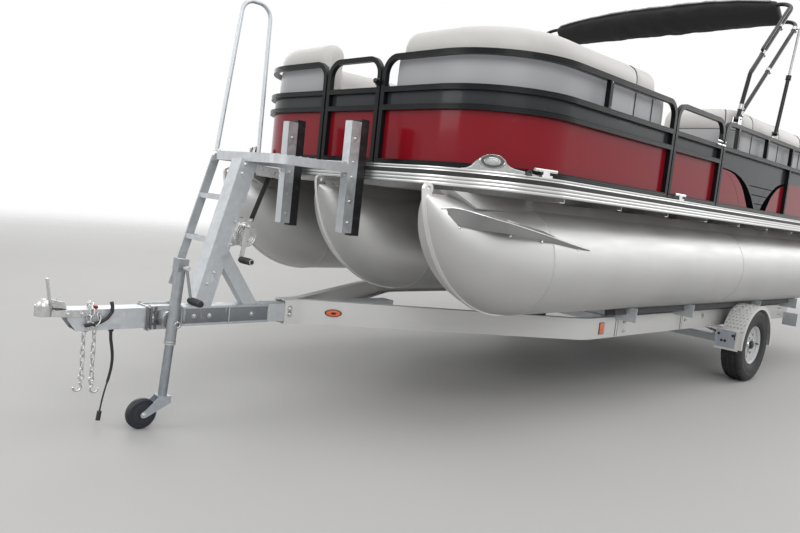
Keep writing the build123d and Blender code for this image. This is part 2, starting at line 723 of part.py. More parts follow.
def steering_wheel():
    """Rim, three spokes and a hub, square to the sloping shaft."""
    plane = Plane(origin=WHEEL_HUB, x_dir=(0, 1, 0), z_dir=WHEEL_AXIS)
    rim = Torus(WHEEL_RIM_R, 15)
    hub = Cylinder(WHEEL_HUB_R, 2 * WHEEL_HUB_HALF)
    wheel = rim + hub
    for turn in (90, 210, 330):
        wheel = wheel + Rot(0, 0, turn) * Pos(WHEEL_RIM_R / 2 + 10, 0, 0) * Box(WHEEL_RIM_R - 20, 34, 9)
    return plane.location * wheel


# Folding top

def top_bow(*side_points):
    """One bow through side-view points: up one side, across with large bends and down the other."""
    port = [(x, TOP_PLANE, z) for x, z in side_points]
    starboard = [(x, -TOP_PLANE, z) for x, z in reversed(side_points)]
    knees = [KNEE_R] * (len(side_points) - 2)
    path = FilletPolyline(*port, *starboard, radius=[*knees, BOW_BEND_R, BOW_BEND_R, *knees])
    return round_tube(path, BOW_TUBE_R)


def cross_pin(x, z, y0, y1, radius):
    """Pin along Y at a side-view place."""
    return rod((x, y0, z), (x, y1, z), radius)


BRACE_FOOT = Vector(BRACE_FOOT_X, BRACE_PLANE, BRACE_FOOT_Z)
BRACE_HEAD = Vector(TOP_PIVOT_X + BRACE_HEAD_SHARE * (MAIN_BOW_X - TOP_PIVOT_X), BRACE_PLANE,
                    TOP_PIVOT_Z + BRACE_HEAD_SHARE * (MAIN_BOW_Z - TOP_PIVOT_Z))
BRACE_ALONG = (BRACE_HEAD - BRACE_FOOT).normalized()
BRACE_COLLAR = BRACE_FOOT + (BRACE_HEAD - BRACE_FOOT) * BRACE_COLLAR_SHARE
STUD_END = BRACE_PLANE - BRACE_ROD_R - 3


def bimini_bows():
    """Both bows on one pair of pivot eyes, with the studs that the braces reach."""
    pivot = (TOP_PIVOT_X, TOP_PIVOT_Z)
    bows = top_bow(pivot, (MAIN_BOW_X, MAIN_BOW_Z)) + top_bow(pivot, SECOND_KNEE, (SECOND_BOW_X, SECOND_BOW_Z))
    for side in (-1, 1):
        y = side * TOP_PLANE
        bows = bows + cross_pin(*pivot, y - BOW_EYE_HALF, y + BOW_EYE_HALF, BOW_EYE_R)
        bows = bows - cross_pin(*pivot, y - BOW_EYE_HALF - 1, y + BOW_EYE_HALF + 1, PIVOT_PIN_R + PIN_CLEAR)
        bows = bows + cross_pin(BRACE_HEAD.X, BRACE_HEAD.Z, y, side * STUD_END, PIVOT_PIN_R)
    return bows


BOOT_HALF_LENGTH = TOP_PLANE - BOW_BEND_R
# share of the half length, depth, thickness, rise over the crossbars
BOOT_SECTIONS = ((-1, 250, 92, 0), (-0.6, 306, 124, 32), (0, 330, 136, 48), (0.6, 306, 124, 32), (1, 250, 92, 0))


def bimini_boot():
    """Zipped boot round the folded canvas and both crossbars, fullest at its middle."""
    x, z = (MAIN_BOW_X + SECOND_BOW_X) / 2, (MAIN_BOW_Z + SECOND_BOW_Z) / 2
    lean = degrees(atan2(SECOND_BOW_Z - MAIN_BOW_Z, SECOND_BOW_X - MAIN_BOW_X))
    sections = [Pos(x, share * BOOT_HALF_LENGTH, z + rise) * Rot(0, -lean, 0) * Rot(-90, 0, 0)
                * RectangleRounded(depth, thick, thick / 2 - 8) for share, depth, thick, rise in BOOT_SECTIONS]
    boot = loft(sections)
    for bar_x, bar_z in ((MAIN_BOW_X, MAIN_BOW_Z), (SECOND_BOW_X, SECOND_BOW_Z)):
        reach = BOOT_HALF_LENGTH + 1
        boot = boot - cross_pin(bar_x, bar_z, -reach, reach, BOW_TUBE_R + SEAT_GAP)
    return boot


def pivot_clevis():
    """Two ears on the port top rail with the pin that carries the bows."""
    top = TOP_RAIL + HALF_TUBE
    x0, x1 = TOP_PIVOT_X - 22, TOP_PIVOT_X + 22
    inner = TOP_PLANE - BOW_EYE_HALF - 1
    outer = TOP_PLANE + BOW_EYE_HALF + 1
    base = block(x0, x1, inner - 6, outer + 6, top, top + 6)
    ears = [block(x0, x1, y0, y0 + 6, top, TOP_PIVOT_Z + 16) for y0 in (inner - 6, outer)]
    return fuse(base, *ears, cross_pin(TOP_PIVOT_X, TOP_PIVOT_Z, inner - 9, outer + 9, PIVOT_PIN_R))


BRACE_EYE_HALF = BRACE_TUBE_R + 1


def brace_ear():
    """Ear on the port top rail with the stud that carries the brace."""
    top = TOP_RAIL + HALF_TUBE
    x0, x1 = BRACE_FOOT_X - 20, BRACE_FOOT_X + 20
    ear_y = BRACE_PLANE - BRACE_EYE_HALF - 7
    base = block(x0, x1, FENCE_SIDE - TUBE, ear_y + 6, top, top + 5)
    ear = block(x0, x1, ear_y, ear_y + 6, top, BRACE_FOOT_Z + 16)
    return fuse(base, ear, cross_pin(BRACE_FOOT_X, BRACE_FOOT_Z, ear_y, BRACE_PLANE + BRACE_EYE_HALF + 3, PIVOT_PIN_R))


def bimini_mounts():
    return both_sides(pivot_clevis()) + both_sides(brace_ear())


def brace_tube():
    """Lower brace: eye, tube and clamp collar, open at the top for the rod."""
    tube = rod(BRACE_FOOT, BRACE_COLLAR, BRACE_TUBE_R)
    tube = tube + rod(BRACE_COLLAR - BRACE_ALONG * 34, BRACE_COLLAR, BRACE_TUBE_R + 6)
    bore_start = BRACE_FOOT + BRACE_ALONG * 40
    tube = tube - rod(bore_start, BRACE_COLLAR + BRACE_ALONG, BRACE_ROD_R + BRACE_CLEAR)
    eye_y = (BRACE_PLANE - BRACE_EYE_HALF, BRACE_PLANE + BRACE_EYE_HALF)
    tube = tube + cross_pin(BRACE_FOOT_X, BRACE_FOOT_Z, *eye_y, BRACE_TUBE_R + 3)
    window = block(BRACE_FOOT_X - 30, BRACE_FOOT_X + 30, *eye_y, BRACE_FOOT_Z - 30, BRACE_FOOT_Z + 20)
    rest = tube - block(BRACE_FOOT_X - 30, BRACE_FOOT_X + 30, BRACE_PLANE - 40, BRACE_PLANE + 40,
                        BRACE_FOOT_Z - 30, BRACE_FOOT_Z + 20)
    tube = (tube & window) + rest
    return tube - cross_pin(BRACE_FOOT_X, BRACE_FOOT_Z, eye_y[0] - 5, eye_y[1] + 5, PIVOT_PIN_R + PIN_CLEAR)


def brace_rod():
    """Upper brace: it slides in the tube and ends in a flat eye beside the bow's stud."""
    return rod(BRACE_COLLAR - BRACE_ALONG * BRACE_OVERLAP, BRACE_HEAD, BRACE_ROD_R)


# Deck fittings

LIGHT_BEARING = 42
CLEAT_BEARING = 76


def on_bow_corner(shape, bearing):
    """Put a shape drawn at the origin, long along Y, on the rail round the port bow corner."""
    centre = (DECK_FRONT_X - DECK_BOW_R, DECK_HALF - DECK_BOW_R)
    reach = DECK_BOW_R + 2
    x = centre[0] + reach * cos(radians(bearing))
    y = centre[1] + reach * sin(radians(bearing))
    return Pos(x, y, RAIL_TOP) * Rot(0, 0, bearing) * shape


def docking_lights():
    """Low oval housings on the rail at both bow corners."""
    housing = Pos(0, 0, 19) * Rot(0, 90, 0) * extrude(Ellipse(24, 56), 20, both=True)
    foot = Pos(0, 0, 5) * Box(40, 170, 10)
    shape = (housing & Pos(0, 0, 30) * Box(60, 200, 60)) + foot
    return both_sides(on_bow_corner(shape, LIGHT_BEARING))


def cleat():
    """Horn cleat about the origin, long along Y."""
    base = Pos(0, 0, 6) * Box(34, 70, 12)
    stem = Pos(0, 0, 22) * Box(18, 44, 24)
    horn = rod((0, -75, 36), (0, 75, 36), 9)
    return fuse(base, stem, horn)


def cleats():
    pieces = both_sides(on_bow_corner(cleat(), CLEAT_BEARING))
    for x in (1900, -2200):
        pieces = pieces + both_sides(Pos(x, DECK_HALF + 2, RAIL_TOP) * Rot(0, 0, 90) * cleat())
    return pieces


# Outboard motor

TILT_TUBE_R = 16


def motor_bracket():
    """Clamp bracket on the transom with the tilt tube."""
    plate = block(TRANSOM_X - 30, TRANSOM_X, -150, 150, TRANSOM_TOP - 270, TRANSOM_TOP + 20)
    cheeks = [side_view([(TRANSOM_X - 30, TRANSOM_TOP - 250), (TRANSOM_X - 30, TILT_Z + 20), (TILT_X - 30, TILT_Z + 30),
                         (TILT_X - 30, TILT_Z - 60)], y0, y0 + 20) for y0 in (-150, 130)]
    tube = cross_pin(TILT_X, TILT_Z, -130, 130, TILT_TUBE_R)
    return fuse(plate, *cheeks, tube)


SWIVEL_R = 42
SWIVEL_FOOT = TILT_Z - 245
SWIVEL_TOP = TILT_Z + 40
YOKE_GAP = 7
STEER_PIN_R = 15
LEG_FRONT_X = STEER_X - 60
PROP_SHAFT_R = 12
PLATE_Z = PROP_Z + PROP_R + 17
COWL_FOOT = TILT_Z + 95


def motor_swivel():
    """Swivel bracket: arms on the tilt tube and an upright tube for the steering pin."""
    upright = Pos(STEER_X, 0, (SWIVEL_FOOT + SWIVEL_TOP) / 2) * Cylinder(SWIVEL_R, SWIVEL_TOP - SWIVEL_FOOT)
    arms = block(STEER_X, TILT_X + 20, -95, 95, TILT_Z - 75, SWIVEL_TOP)
    web = block(STEER_X, TILT_X + 5, -22, 22, SWIVEL_FOOT + 40, TILT_Z)
    pin_hole = rod((STEER_X, 0, SWIVEL_FOOT - 1), (STEER_X, 0, SWIVEL_TOP + 1), STEER_PIN_R + PIN_CLEAR)
    return fuse(upright, arms, web) - cross_pin(TILT_X, TILT_Z, -160, 160, TILT_TUBE_R + PIN_CLEAR) - pin_hole


def motor_leg():
    """Steering pin with its yokes, midsection, gearcase, plate above the propeller and skeg."""
    pin = rod((STEER_X, 0, SWIVEL_FOOT - YOKE_GAP - 15), (STEER_X, 0, SWIVEL_TOP + YOKE_GAP + 15), STEER_PIN_R)
    yokes = [block(LEG_FRONT_X - 5, STEER_X + 24, -30, 30, z0, z0 + 22)
             for z0 in (SWIVEL_FOOT - YOKE_GAP - 22, SWIVEL_TOP + YOKE_GAP)]
    mid = side_view([(LEG_FRONT_X, COWL_FOOT), (LEG_FRONT_X, PROP_Z + 140), (LEG_FRONT_X - 6, PROP_Z + 80),
                     (-3300, PROP_Z + 80), (-3305, PLATE_Z), (-3400, TILT_Z - 25), (-3400, COWL_FOOT)], -60, 60)
    plate = block(-3480, LEG_FRONT_X + 10, -110, 110, PLATE_Z, PLATE_Z + 12)
    gearcase = rod((-3305, 0, PROP_Z), (-3150, 0, PROP_Z), 55)
    shaft = rod((-3290, 0, PROP_Z), (PROP_X - 95, 0, PROP_Z), PROP_SHAFT_R)
    neck = block(-3300, LEG_FRONT_X - 5, -28, 28, PROP_Z, PROP_Z + 90)
    skeg = side_view([(-3280, PROP_Z - 40), (LEG_FRONT_X, PROP_Z - 40), (-3250, PROP_Z - 170),
                      (-3290, PROP_Z - 170)], -7, 7)
    return fuse(mid, plate, gearcase, shaft, neck, skeg, pin, *yokes)


# height over the cowl's foot, front x, tail x, half width
COWL_SECTIONS = ((0, -3000, -3540, 150), (70, -2978, -3585, 186), (230, -2966, -3622, 212), (420, -2968, MOTOR_TAIL_X, 216),
                 (545, -3000, MOTOR_TAIL_X + 14, 200), (615, -3052, -3590, 168), (650, -3120, -3520, 118))


def motor_cowl():
    """Rounded cowl lofted through oval plan sections."""
    ovals = [Pos((front + tail) / 2, 0, COWL_FOOT + z) * Ellipse((front - tail) / 2, half)
             for z, front, tail, half in COWL_SECTIONS]
    return loft(ovals)


# radius, chord, angle of the chord from the shaft, thickness
BLADE_SECTIONS = ((38, 70, 128, 13), (80, 104, 138, 11), (128, 112, 147, 8), (164, 76, 153, 5), (178, 34, 155, 4))


def propeller():
    """Hub with three twisted blades."""
    hub = Pos(PROP_X - 45, 0, PROP_Z) * Rot(0, 90, 0) * Cylinder(48, 90)
    prop = hub
    blade = loft([Pos(0, 0, radius) * Rot(0, 0, pitch) * Ellipse(chord / 2, thick / 2)
                  for radius, chord, pitch, thick in BLADE_SECTIONS])
    for turn in (0, 120, 240):
        prop = prop + Pos(PROP_X - 45, 0, PROP_Z) * Rot(turn, 0, 0) * blade
    return prop - rod((PROP_X + 5, 0, PROP_Z), (PROP_X - 100, 0, PROP_Z), PROP_SHAFT_R + PIN_CLEAR)


# Trailer

def rail_path():
    """Plan of the port frame rail, heading aft from the tongue."""
    front_y = TONGUE / 2 + FRAME_WALL + 1
    return FilletPolyline((FRAME_FRONT_X, front_y, 0), (FRAME_FRONT_X - 130, front_y, 0),
                          (FRAME_KINK_X, FRAME_SIDE, 0), (FRAME_TAIL_X, FRAME_SIDE, 0), radius=[120, 350])


def frame_rail():
    """Channel rail, open to the inside."""
    z0, z1, w, f = FRAME_BOTTOM, FRAME_TOP, FRAME_WALL, FRAME_FLANGE
    outline = [(0, z0), (0, z1), (-f, z1), (-f, z1 - w), (-w, z1 - w), (-w, z0 + w), (-f, z0 + w), (-f, z0)]
    outline = [(-a, z) for a, z in outline]
    rail = along(rail_path(), outline)
    return rail - tongue_box(0.5)


def tongue_box(grow):
    half = TONGUE / 2 + grow
    return block(TONGUE_TAIL_X, TONGUE_FRONT_X, -half, half, TONGUE_BOTTOM - grow,
                 TONGUE_BOTTOM + TONGUE + grow)


TONGUE_WALL = 5
TONGUE_BEVEL = (41, 57)


def tongue():
    """Square tube, open and cut back at its front end, with the jack's clamp plate on its port side."""
    bevel_x, bevel_z = TONGUE_BEVEL
    inner = TONGUE / 2 - TONGUE_WALL
    tube = tongue_box(0)
    tube = tube - block(TONGUE_FRONT_X - 90, TONGUE_FRONT_X + 1, -inner, inner, TONGUE_BOTTOM + TONGUE_WALL,
                        TONGUE_TOP - TONGUE_WALL)
    tube = tube - side_view([(TONGUE_FRONT_X - bevel_x, TONGUE_BOTTOM), (TONGUE_FRONT_X - bevel_x, TONGUE_BOTTOM - 1),
                             (TONGUE_FRONT_X + 1, TONGUE_BOTTOM - 1), (TONGUE_FRONT_X + 1, TONGUE_BOTTOM + bevel_z)],
                            -TONGUE, TONGUE)
    plate = block(JACK_PIVOT.X - CLAMP_HALF, JACK_PIVOT.X + CLAMP_HALF, TONGUE / 2, TONGUE / 2 + CLAMP_PLATE,
                  TONGUE_BOTTOM - CLAMP_LIP, TONGUE_TOP + CLAMP_LIP)
    return tube + plate


COUPLER_BALL_X = COUPLER_NOSE_X - 40
COUPLER_BODY = ((5205, 57), (5338, 57), (5392, 40))


def coupler():
    """Ball coupler: tapered channel over the tongue's top, round head, latch housing and raised lever."""
    plan = [(x, half) for x, half in COUPLER_BODY]
    plan = plan + [(x, -half) for x, half in reversed(COUPLER_BODY)]
    face = make_face(Polyline(*plan, close=True))
    low, crown = TONGUE_TOP - 32, TONGUE_TOP - 2
    body = slab(face, low, crown) + extrude(Pos(0, 0, crown) * face, 10, taper=35)
    body = body - tongue_box(0)
    body = body - block(TONGUE_FRONT_X - 1, COUPLER_BALL_X - 38, -34, 34, low - 1, crown)
    head = Pos(COUPLER_BALL_X, 0, TONGUE_TOP - 7) * Cylinder(40, 50)
    dome = Pos(COUPLER_BALL_X, 0, TONGUE_TOP + 13) * Sphere(34)
    socket = Pos(COUPLER_BALL_X, 0, TONGUE_TOP - 12) * Cylinder(25.6, 45)
    housing = side_view([(5318, TONGUE_TOP), (5330, TONGUE_TOP + 30), (5388, TONGUE_TOP + 44),
                         (5402, TONGUE_TOP + 10)], -15, 15)
    lever = bar((5390, 0, TONGUE_TOP + 26), (5408, 0, TONGUE_TOP + 142), 28, 7)
    pivot = rod((5378, -22, TONGUE_TOP + 30), (5378, 22, TONGUE_TOP + 30), 5)
    return fuse(body, head, dome, housing, lever, pivot) - socket


def float_ys():
    return (-FLOAT_SPACING, 0, FLOAT_SPACING)


def bunk_bars(grow):
    """Six tilted bars, two under each float, grown all round by a margin."""
    bars = []
    length = BUNK_FRONT_X - BUNK_TAIL_X
    centre_r = FLOAT_R + BUNK_GAP + BUNK_THICK / 2
    for y in float_ys():
        for side in (-1, 1):
            angle = side * (OUTER_BUNK_ANGLE if y * side > 0 else BUNK_ANGLE)
            place = Pos((BUNK_FRONT_X + BUNK_TAIL_X) / 2, y + centre_r * sin(radians(angle)),
                        FLOAT_AXIS_Z - centre_r * cos(radians(angle)))
            bars.append(place * Rot(angle, 0, 0) * Box(length, BUNK_WIDTH + grow, BUNK_THICK + grow))
    return bars


def bunks():
    return bunk_bars(0)


def cross_member(x):
    """Square tube between the rails with upright plates notched for the bunks."""
    z1 = FRAME_TOP - 4
    half = FRAME_SIDE - FRAME_WALL
    tube = block(x - CROSS_TUBE / 2, x + CROSS_TUBE / 2, -half, half, z1 - CROSS_TUBE, z1)
    plates = [block(x - 4, x + 4, y - 200, y + 175, z1 - 10, z1 + 90) for y in (FLOAT_SPACING,)]
    plates = plates + [block(x - 4, x + 4, -FLOAT_SPACING - 175, -FLOAT_SPACING + 200, z1 - 10, z1 + 90),
                       block(x - 4, x + 4, -175, 175, z1 - 10, z1 + 90)]
    member = fuse(tube, *plates)
    for notch in bunk_bars(2 * BUNK_GAP):
        member = member - notch
    for y in float_ys():
        member = member - Pos(x, y, FLOAT_AXIS_Z) * Rot(0, 90, 0) * Cylinder(FLOAT_R + 6, 200)
    member = member - frame_rail() - other_side(frame_rail())
    return member


def cross_members():
    solids = []
    for x in CROSS_X:
        solids.append(max(cross_member(x).solids(), key=lambda s: s.volume))
    return solids


def axle():
    """Axle beam with spindles and a leaf spring under each rail."""
    beam = block(-AXLE_TUBE / 2, AXLE_TUBE / 2, -FRAME_SIDE - 35, FRAME_SIDE + 35, TYRE_R - AXLE_TUBE / 2, TYRE_R + AXLE_TUBE / 2)
    spring_y = FRAME_SIDE - 25
    whole = beam
    for side in (-1, 1):
        y = side * spring_y
        leaf = [(-360, -18), (-180, -60), (0, -76), (180, -60), (360, -18), (360, -8),
                (180, -46), (0, -62), (-180, -46), (-360, -8)]
        spring = side_view([(x, FRAME_BOTTOM + z) for x, z in leaf], y - 22, y + 22)
        pack = block(-160, 160, y - 22, y + 22, FRAME_BOTTOM - 88, FRAME_BOTTOM - 66)
        seat = block(-60, 60, y - 30, y + 30, TYRE_R + AXLE_TUBE / 2 - 2, FRAME_BOTTOM - 84)
        hangers = [block(x - 14, x + 14, y - 16, y + 16, FRAME_BOTTOM - 22, FRAME_BOTTOM) for x in (-346, 346)]
        spindle = rod((0, side * (FRAME_SIDE + 25), TYRE_R), (0, side * (WHEEL_PLANE + 42), TYRE_R),
                      SPINDLE_R - SPINDLE_CLEAR)
        whole = fuse(whole, spring, pack, seat, *hangers, spindle)
    return whole


FENDER_LIP = 4
FENDER_LIP_DEPTH = 26
STEP_X = FENDER_R + 106
STEP_Z = FRAME_BOTTOM + 8


def wheel_cylinder(radius, y0, y1):
    """Solid round the port wheel's axis, between two Y places."""
    return rod((0, y0, TYRE_R), (0, y1, TYRE_R), radius)


def fender():
    """Round fender over the port wheel with an outer lip, its two brackets and the front plate."""
    y0, y1 = FENDER_INNER_Y, FENDER_OUTER_Y
    band = wheel_cylinder(FENDER_R + FENDER_WALL, y0, y1) - wheel_cylinder(FENDER_R, y0 - 1, y1 + 1)
    lip = wheel_cylinder(FENDER_R + 1, y1 - FENDER_LIP, y1)
    lip = lip - wheel_cylinder(FENDER_R - FENDER_LIP_DEPTH, y1 - FENDER_LIP - 1, y1 + 1)
    band = (band + lip) & block(-500, 500, y0 - 5, y1 + 10, TYRE_R - 20, 2 * FENDER_R + TYRE_R)
    drum = wheel_cylinder(FENDER_R, FENDER_INNER_Y - 20, y1 + 40)
    front = block(FENDER_R - 64, STEP_X, FRAME_SIDE, y1 - 24, STEP_Z - 8, STEP_Z) - drum
    rear = block(-FENDER_R - 26, 64 - FENDER_R, FRAME_SIDE, y1 - 24, STEP_Z - 8, STEP_Z) - drum
    plate = block(STEP_X - 4, STEP_X, FENDER_INNER_Y, y1 + 10, TYRE_R - 18, STEP_Z)
    return fuse(band, front, rear, plate)


def fenders():
    return both_sides(fender())


def around_axle(profile):
    """Ring turned about the wheel's axis from (radius, sideways) points."""
    face = make_face(Polyline(*[(0, y, r) for r, y in profile], close=True))
    return revolve(face, Axis.Y)


def tyre():
    half = TYRE_WIDTH / 2
    edge = [(BEAD_R, BEAD_HALF), (BEAD_R + 40, half - 4), (BEAD_R + 84, half), (TYRE_R - 28, half - 4),
            (TYRE_R - 8, half - 17), (TYRE_R, half - 36)]
    return around_axle([(r, -y) for r, y in edge] + [(r, y) for r, y in reversed(edge)])


RIM_WALL = 14
RIM_FIT = 0.3
WINDOW_COUNT = 8
STUD_COUNT = 5


def rim():
    """Barrel and dished disc with round windows and five studs; outer side towards +Y."""
    inner = BEAD_R - RIM_FIT - RIM_WALL
    barrel = around_axle([(BEAD_R - RIM_FIT, -BEAD_HALF), (BEAD_R - RIM_FIT, BEAD_HALF), (BEAD_R - 4, BEAD_HALF),
                          (inner, BEAD_HALF - 16), (inner, 16 - BEAD_HALF), (BEAD_R - 4, -BEAD_HALF)])
    disc = around_axle([(SPINDLE_R, 10), (SPINDLE_R, 34), (70, 34), (100, 26), (inner + 2, 40),
                        (inner + 2, 30), (104, 16), (72, 10)])
    hub = around_axle([(SPINDLE_R, -60), (SPINDLE_R, 46), (34, 46), (40, 34), (40, -60)])
    wheel = fuse(barrel, disc, hub)
    for number in range(WINDOW_COUNT):
        wheel = wheel - Rot(0, 360 / WINDOW_COUNT * number, 0) * rod((112, 0, 0), (112, 60, 0), 15)
    for number in range(STUD_COUNT):
        wheel = wheel + Rot(0, 360 / STUD_COUNT * number, 0) * rod((57, 30, 0), (57, 49, 0), 9)
    return wheel


def on_axle(shape, side):
    """Put a wheel drawn about the origin on its end of the axle."""
    placed_shape = Pos(0, WHEEL_PLANE, TYRE_R) * shape
    return placed_shape if side > 0 else other_side(placed_shape)


# Tongue jack

JACK_TOP_POINT = Vector(JACK_TOP[0], JACK_Y, JACK_TOP[1])
JACK_FOOT_POINT = Vector(JACK_FOOT[0], JACK_Y, JACK_FOOT[1])
JACK_AXIS = (JACK_FOOT_POINT - JACK_TOP_POINT).normalized()


def jack_point(share):
    return JACK_TOP_POINT + (JACK_FOOT_POINT - JACK_TOP_POINT) * share


JACK_PIVOT = jack_point((JACK_TOP[1] - (TONGUE_TOP - TONGUE / 2)) / (JACK_TOP[1] - JACK_FOOT[1]))


def jack_sleeve():
    """Outer tube with the mounting boss and the side crank."""
    sleeve = rod(jack_point(0), jack_point(JACK_SLEEVE_END), JACK_SLEEVE_R)
    sleeve = sleeve - rod(jack_point(0.1), jack_point(JACK_SLEEVE_END + 0.05), JACK_LEG_R + 0.3)
    boss_reach = JACK_Y - TONGUE / 2 - CLAMP_PLATE - SEAT_GAP
    boss = rod(JACK_PIVOT - Vector(0, JACK_SLEEVE_R - 3, 0), JACK_PIVOT - Vector(0, boss_reach, 0), 40)
    shaft_start = jack_point(0.06)
    shaft = rod(shaft_start, shaft_start + Vector(0, 70, 0), 8)
    elbow = shaft_start + Vector(0, 66, 0)
    arm_end = elbow + Vector(-35, 0, -160)
    arm = rod(elbow, arm_end, 7)
    grip = rod(arm_end + Vector(0, -10, 0), arm_end + Vector(0, 100, 0), 15)
    gear_case = bar(jack_point(0), jack_point(0.09), 2 * JACK_SLEEVE_R + 6, 2 * JACK_SLEEVE_R)
    gear_case = gear_case - bar(jack_point(-0.01), jack_point(0.07), 2 * JACK_SLEEVE_R - 2, 2 * JACK_SLEEVE_R - 8)
    return fuse(sleeve, boss, gear_case, shaft, arm, grip)


def jack_leg():
    return rod(jack_point(0.12), jack_point(1) , JACK_LEG_R)


def jack_fork():
    """Fork under the leg, trailing forward to the wheel's axle."""
    half = JACK_WHEEL_WIDTH / 2
    cheek = [(JACK_FOOT[0] - 34, 152), (JACK_FOOT[0] + 32, 152), (JACK_WHEEL_X + 16, JACK_WHEEL_R),
             (JACK_WHEEL_X - 8, JACK_WHEEL_R - 18), (JACK_FOOT[0] - 34, 120)]
    cheeks = [side_view(cheek, JACK_Y + s * (half + 8) - 2.5, JACK_Y + s * (half + 8) + 2.5) for s in (-1, 1)]
    crown = block(JACK_FOOT[0] - 34, JACK_FOOT[0] + 30, JACK_Y - half - 10, JACK_Y + half + 10, 152, 160)
    pin = rod((JACK_WHEEL_X, JACK_Y - half - 14, JACK_WHEEL_R), (JACK_WHEEL_X, JACK_Y + half + 14, JACK_WHEEL_R), 7.9)
    crown = crown - rod(jack_point(0.9), jack_point(1), 60)
    return fuse(crown, *cheeks, pin)


def jack_wheel():
    half = JACK_WHEEL_WIDTH / 2
    face = make_face(Polyline((0, -half, 8), (0, -half, 66), (0, -half + 8, 74), (0, -half + 14, JACK_WHEEL_R),
                              (0, half - 14, JACK_WHEEL_R), (0, half - 8, 74), (0, half, 66), (0, half, 8),
                              close=True))
    return Pos(JACK_WHEEL_X, JACK_Y, JACK_WHEEL_R) * revolve(face, Axis.Y)


# Winch stand

def winch_stand():
    """Leaning post with brace, step frame and the two upright guide channels."""
    post_bar = bar((STAND_FOOT[0], 0, STAND_FOOT[1]), (STAND_HEAD[0], 0, STAND_HEAD[1]), STAND_TUBE, STAND_TUBE)
    post_bar = post_bar & block(4000, 5000, -80, 80, TONGUE_TOP, STAND_HEAD[1] + 33)
    brace = bar((4535, 0, TONGUE_TOP + 280), (4325, 0, TONGUE_TOP - 20), 60, 75)
    brace = brace & block(4000, 4600, -60, 60, TONGUE_TOP, TONGUE_TOP + 320)
    half = PLATFORM_TUBE / 2
    z = PLATFORM_Z
    frame = along(FilletPolyline((3975, -PLATFORM_HALF, z), (PLATFORM_FRONT_X, -PLATFORM_HALF, z),
                                 (PLATFORM_FRONT_X, PLATFORM_HALF, z), (3975, PLATFORM_HALF, z), radius=60),
                  flat_bar(-half, 2 * half, -half, half))
    tread = block(4050, PLATFORM_FRONT_X, 30 - PLATFORM_HALF, PLATFORM_HALF - 30, z + half, z + half + 3)
    guides = [block(3912, 3980, side * GUIDE_Y - 30, side * GUIDE_Y + 30, GUIDE_BOTTOM, GUIDE_TOP)
              for side in (-1, 1)]
    hollows = [block(3900, 3974, side * GUIDE_Y - 24, side * GUIDE_Y + 24, GUIDE_BOTTOM - 1, GUIDE_TOP + 1)
               for side in (-1, 1)]
    whole = fuse(post_bar, brace, frame, tread, *guides)
    for hollow in hollows:
        whole = whole - hollow
    ladder_top = (4425, -PLATFORM_HALF - 16, PLATFORM_Z - 6)
    ladder_foot = (4635, -PLATFORM_HALF - 16, TONGUE_TOP + 58)
    whole = whole + bar(ladder_foot, ladder_top, 10, 50)
    for z_rung in (TONGUE_TOP + 339, TONGUE_TOP + 576):
        x = ladder_foot[0] - (z_rung - ladder_foot[2]) * 0.281
        whole = whole + block(x - 20, x + 20, -PLATFORM_HALF - 16, -40, z_rung - 14, z_rung + 14)
    return whole


def guide_pads():
    return [block(3852, 3911.7, side * GUIDE_Y - 25, side * GUIDE_Y + 25, GUIDE_BOTTOM - 14, GUIDE_TOP + 18)
            for side in (-1, 1)]


def handrail():
    y = -PLATFORM_HALF
    top = PLATFORM_Z + PLATFORM_TUBE / 2
    head = top + 885
    path = FilletPolyline((4434, y, top - 20), (4334, y, head), (4150, y, head), (4153, y, top - 20), radius=80)
    return round_tube(path, 12) & block(4000, 4500, y - 50, y + 50, top, head + 100)


DRUM = (4425, TONGUE_TOP + 400)
DRUM_R = 34
ROLLER = (4262, TONGUE_TOP + 738)


def winch():
    """Drum between two cheeks, big gear and crank on the port side."""
    x, z = DRUM
    side = STAND_TUBE / 2
    cheeks = [side_view([(4520, z - 80), (4480, z + 80), (x - 40, z + 80), (x - 50, z - 30), (x, z - 60)], y0, y0 + 4)
              for y0 in (-side - 4, side)]
    drum = rod((x, -side, z), (x, side, z), DRUM_R)
    gear = rod((x, side + 4, z - 10), (x, side + 16, z - 10), 66)
    shaft = rod((x + 20, side + 4, z + 40), (x + 20, 118, z + 40), 9)
    arm = bar((x + 20, 112, z + 50), (x + 50, 112, z - 150), 8, 24)
    grip = rod((x + 50, 108, z - 140), (x + 50, 225, z - 140), 15)
    return fuse(drum, *cheeks, gear, shaft, arm, grip)


def winch_strap():
    """Strap that leaves the drum on its aft side and runs straight to the bow roller."""
    thick = 3
    drum, roller = Vector(DRUM[0], 0, DRUM[1]), Vector(ROLLER[0], 0, ROLLER[1])
    reach = (drum - roller).length
    offset = DRUM_R + SEAT_GAP + thick / 2
    run = sqrt(reach ** 2 - offset ** 2)
    down = (drum - roller).rotate(Axis.Y, degrees(atan2(offset, run))).normalized()
    return bar(roller, roller + down * run, 46, thick)


def safety_chains():
    pieces = []
    for x, z0, z1, y in ((5240, TONGUE_BOTTOM, 225, 30), (5172, TONGUE_BOTTOM, 192, -20)):
        pieces.append(rod((x, y, z1), (x, y, z0), 8))
    return pieces


def trailer_lamps():
    """Side markers on the rails and tail lamps on their plates."""
    lamps = []
    plate = block(-1454, -1450, FRAME_SIDE, FRAME_SIDE + 135, FRAME_BOTTOM - 68, FRAME_BOTTOM + 62)
    lamps = lamps + both_sides(plate)
    return lamps


# Plug lead that hangs under the tongue

LEAD_R = 4
LEAD_ROUTE = ((5116, 40, TONGUE_BOTTOM), (5116, 40, 438), (5107, 41, 392), (5100, 41, 344), (5101, 40, 296),
              (5108, 39, 250), (5119, 39, 206), (5130, 40, 162), (5139, 41, 118), (5145, 41, 74))
PLUG_R = 11
PLUG_LENGTH = 46


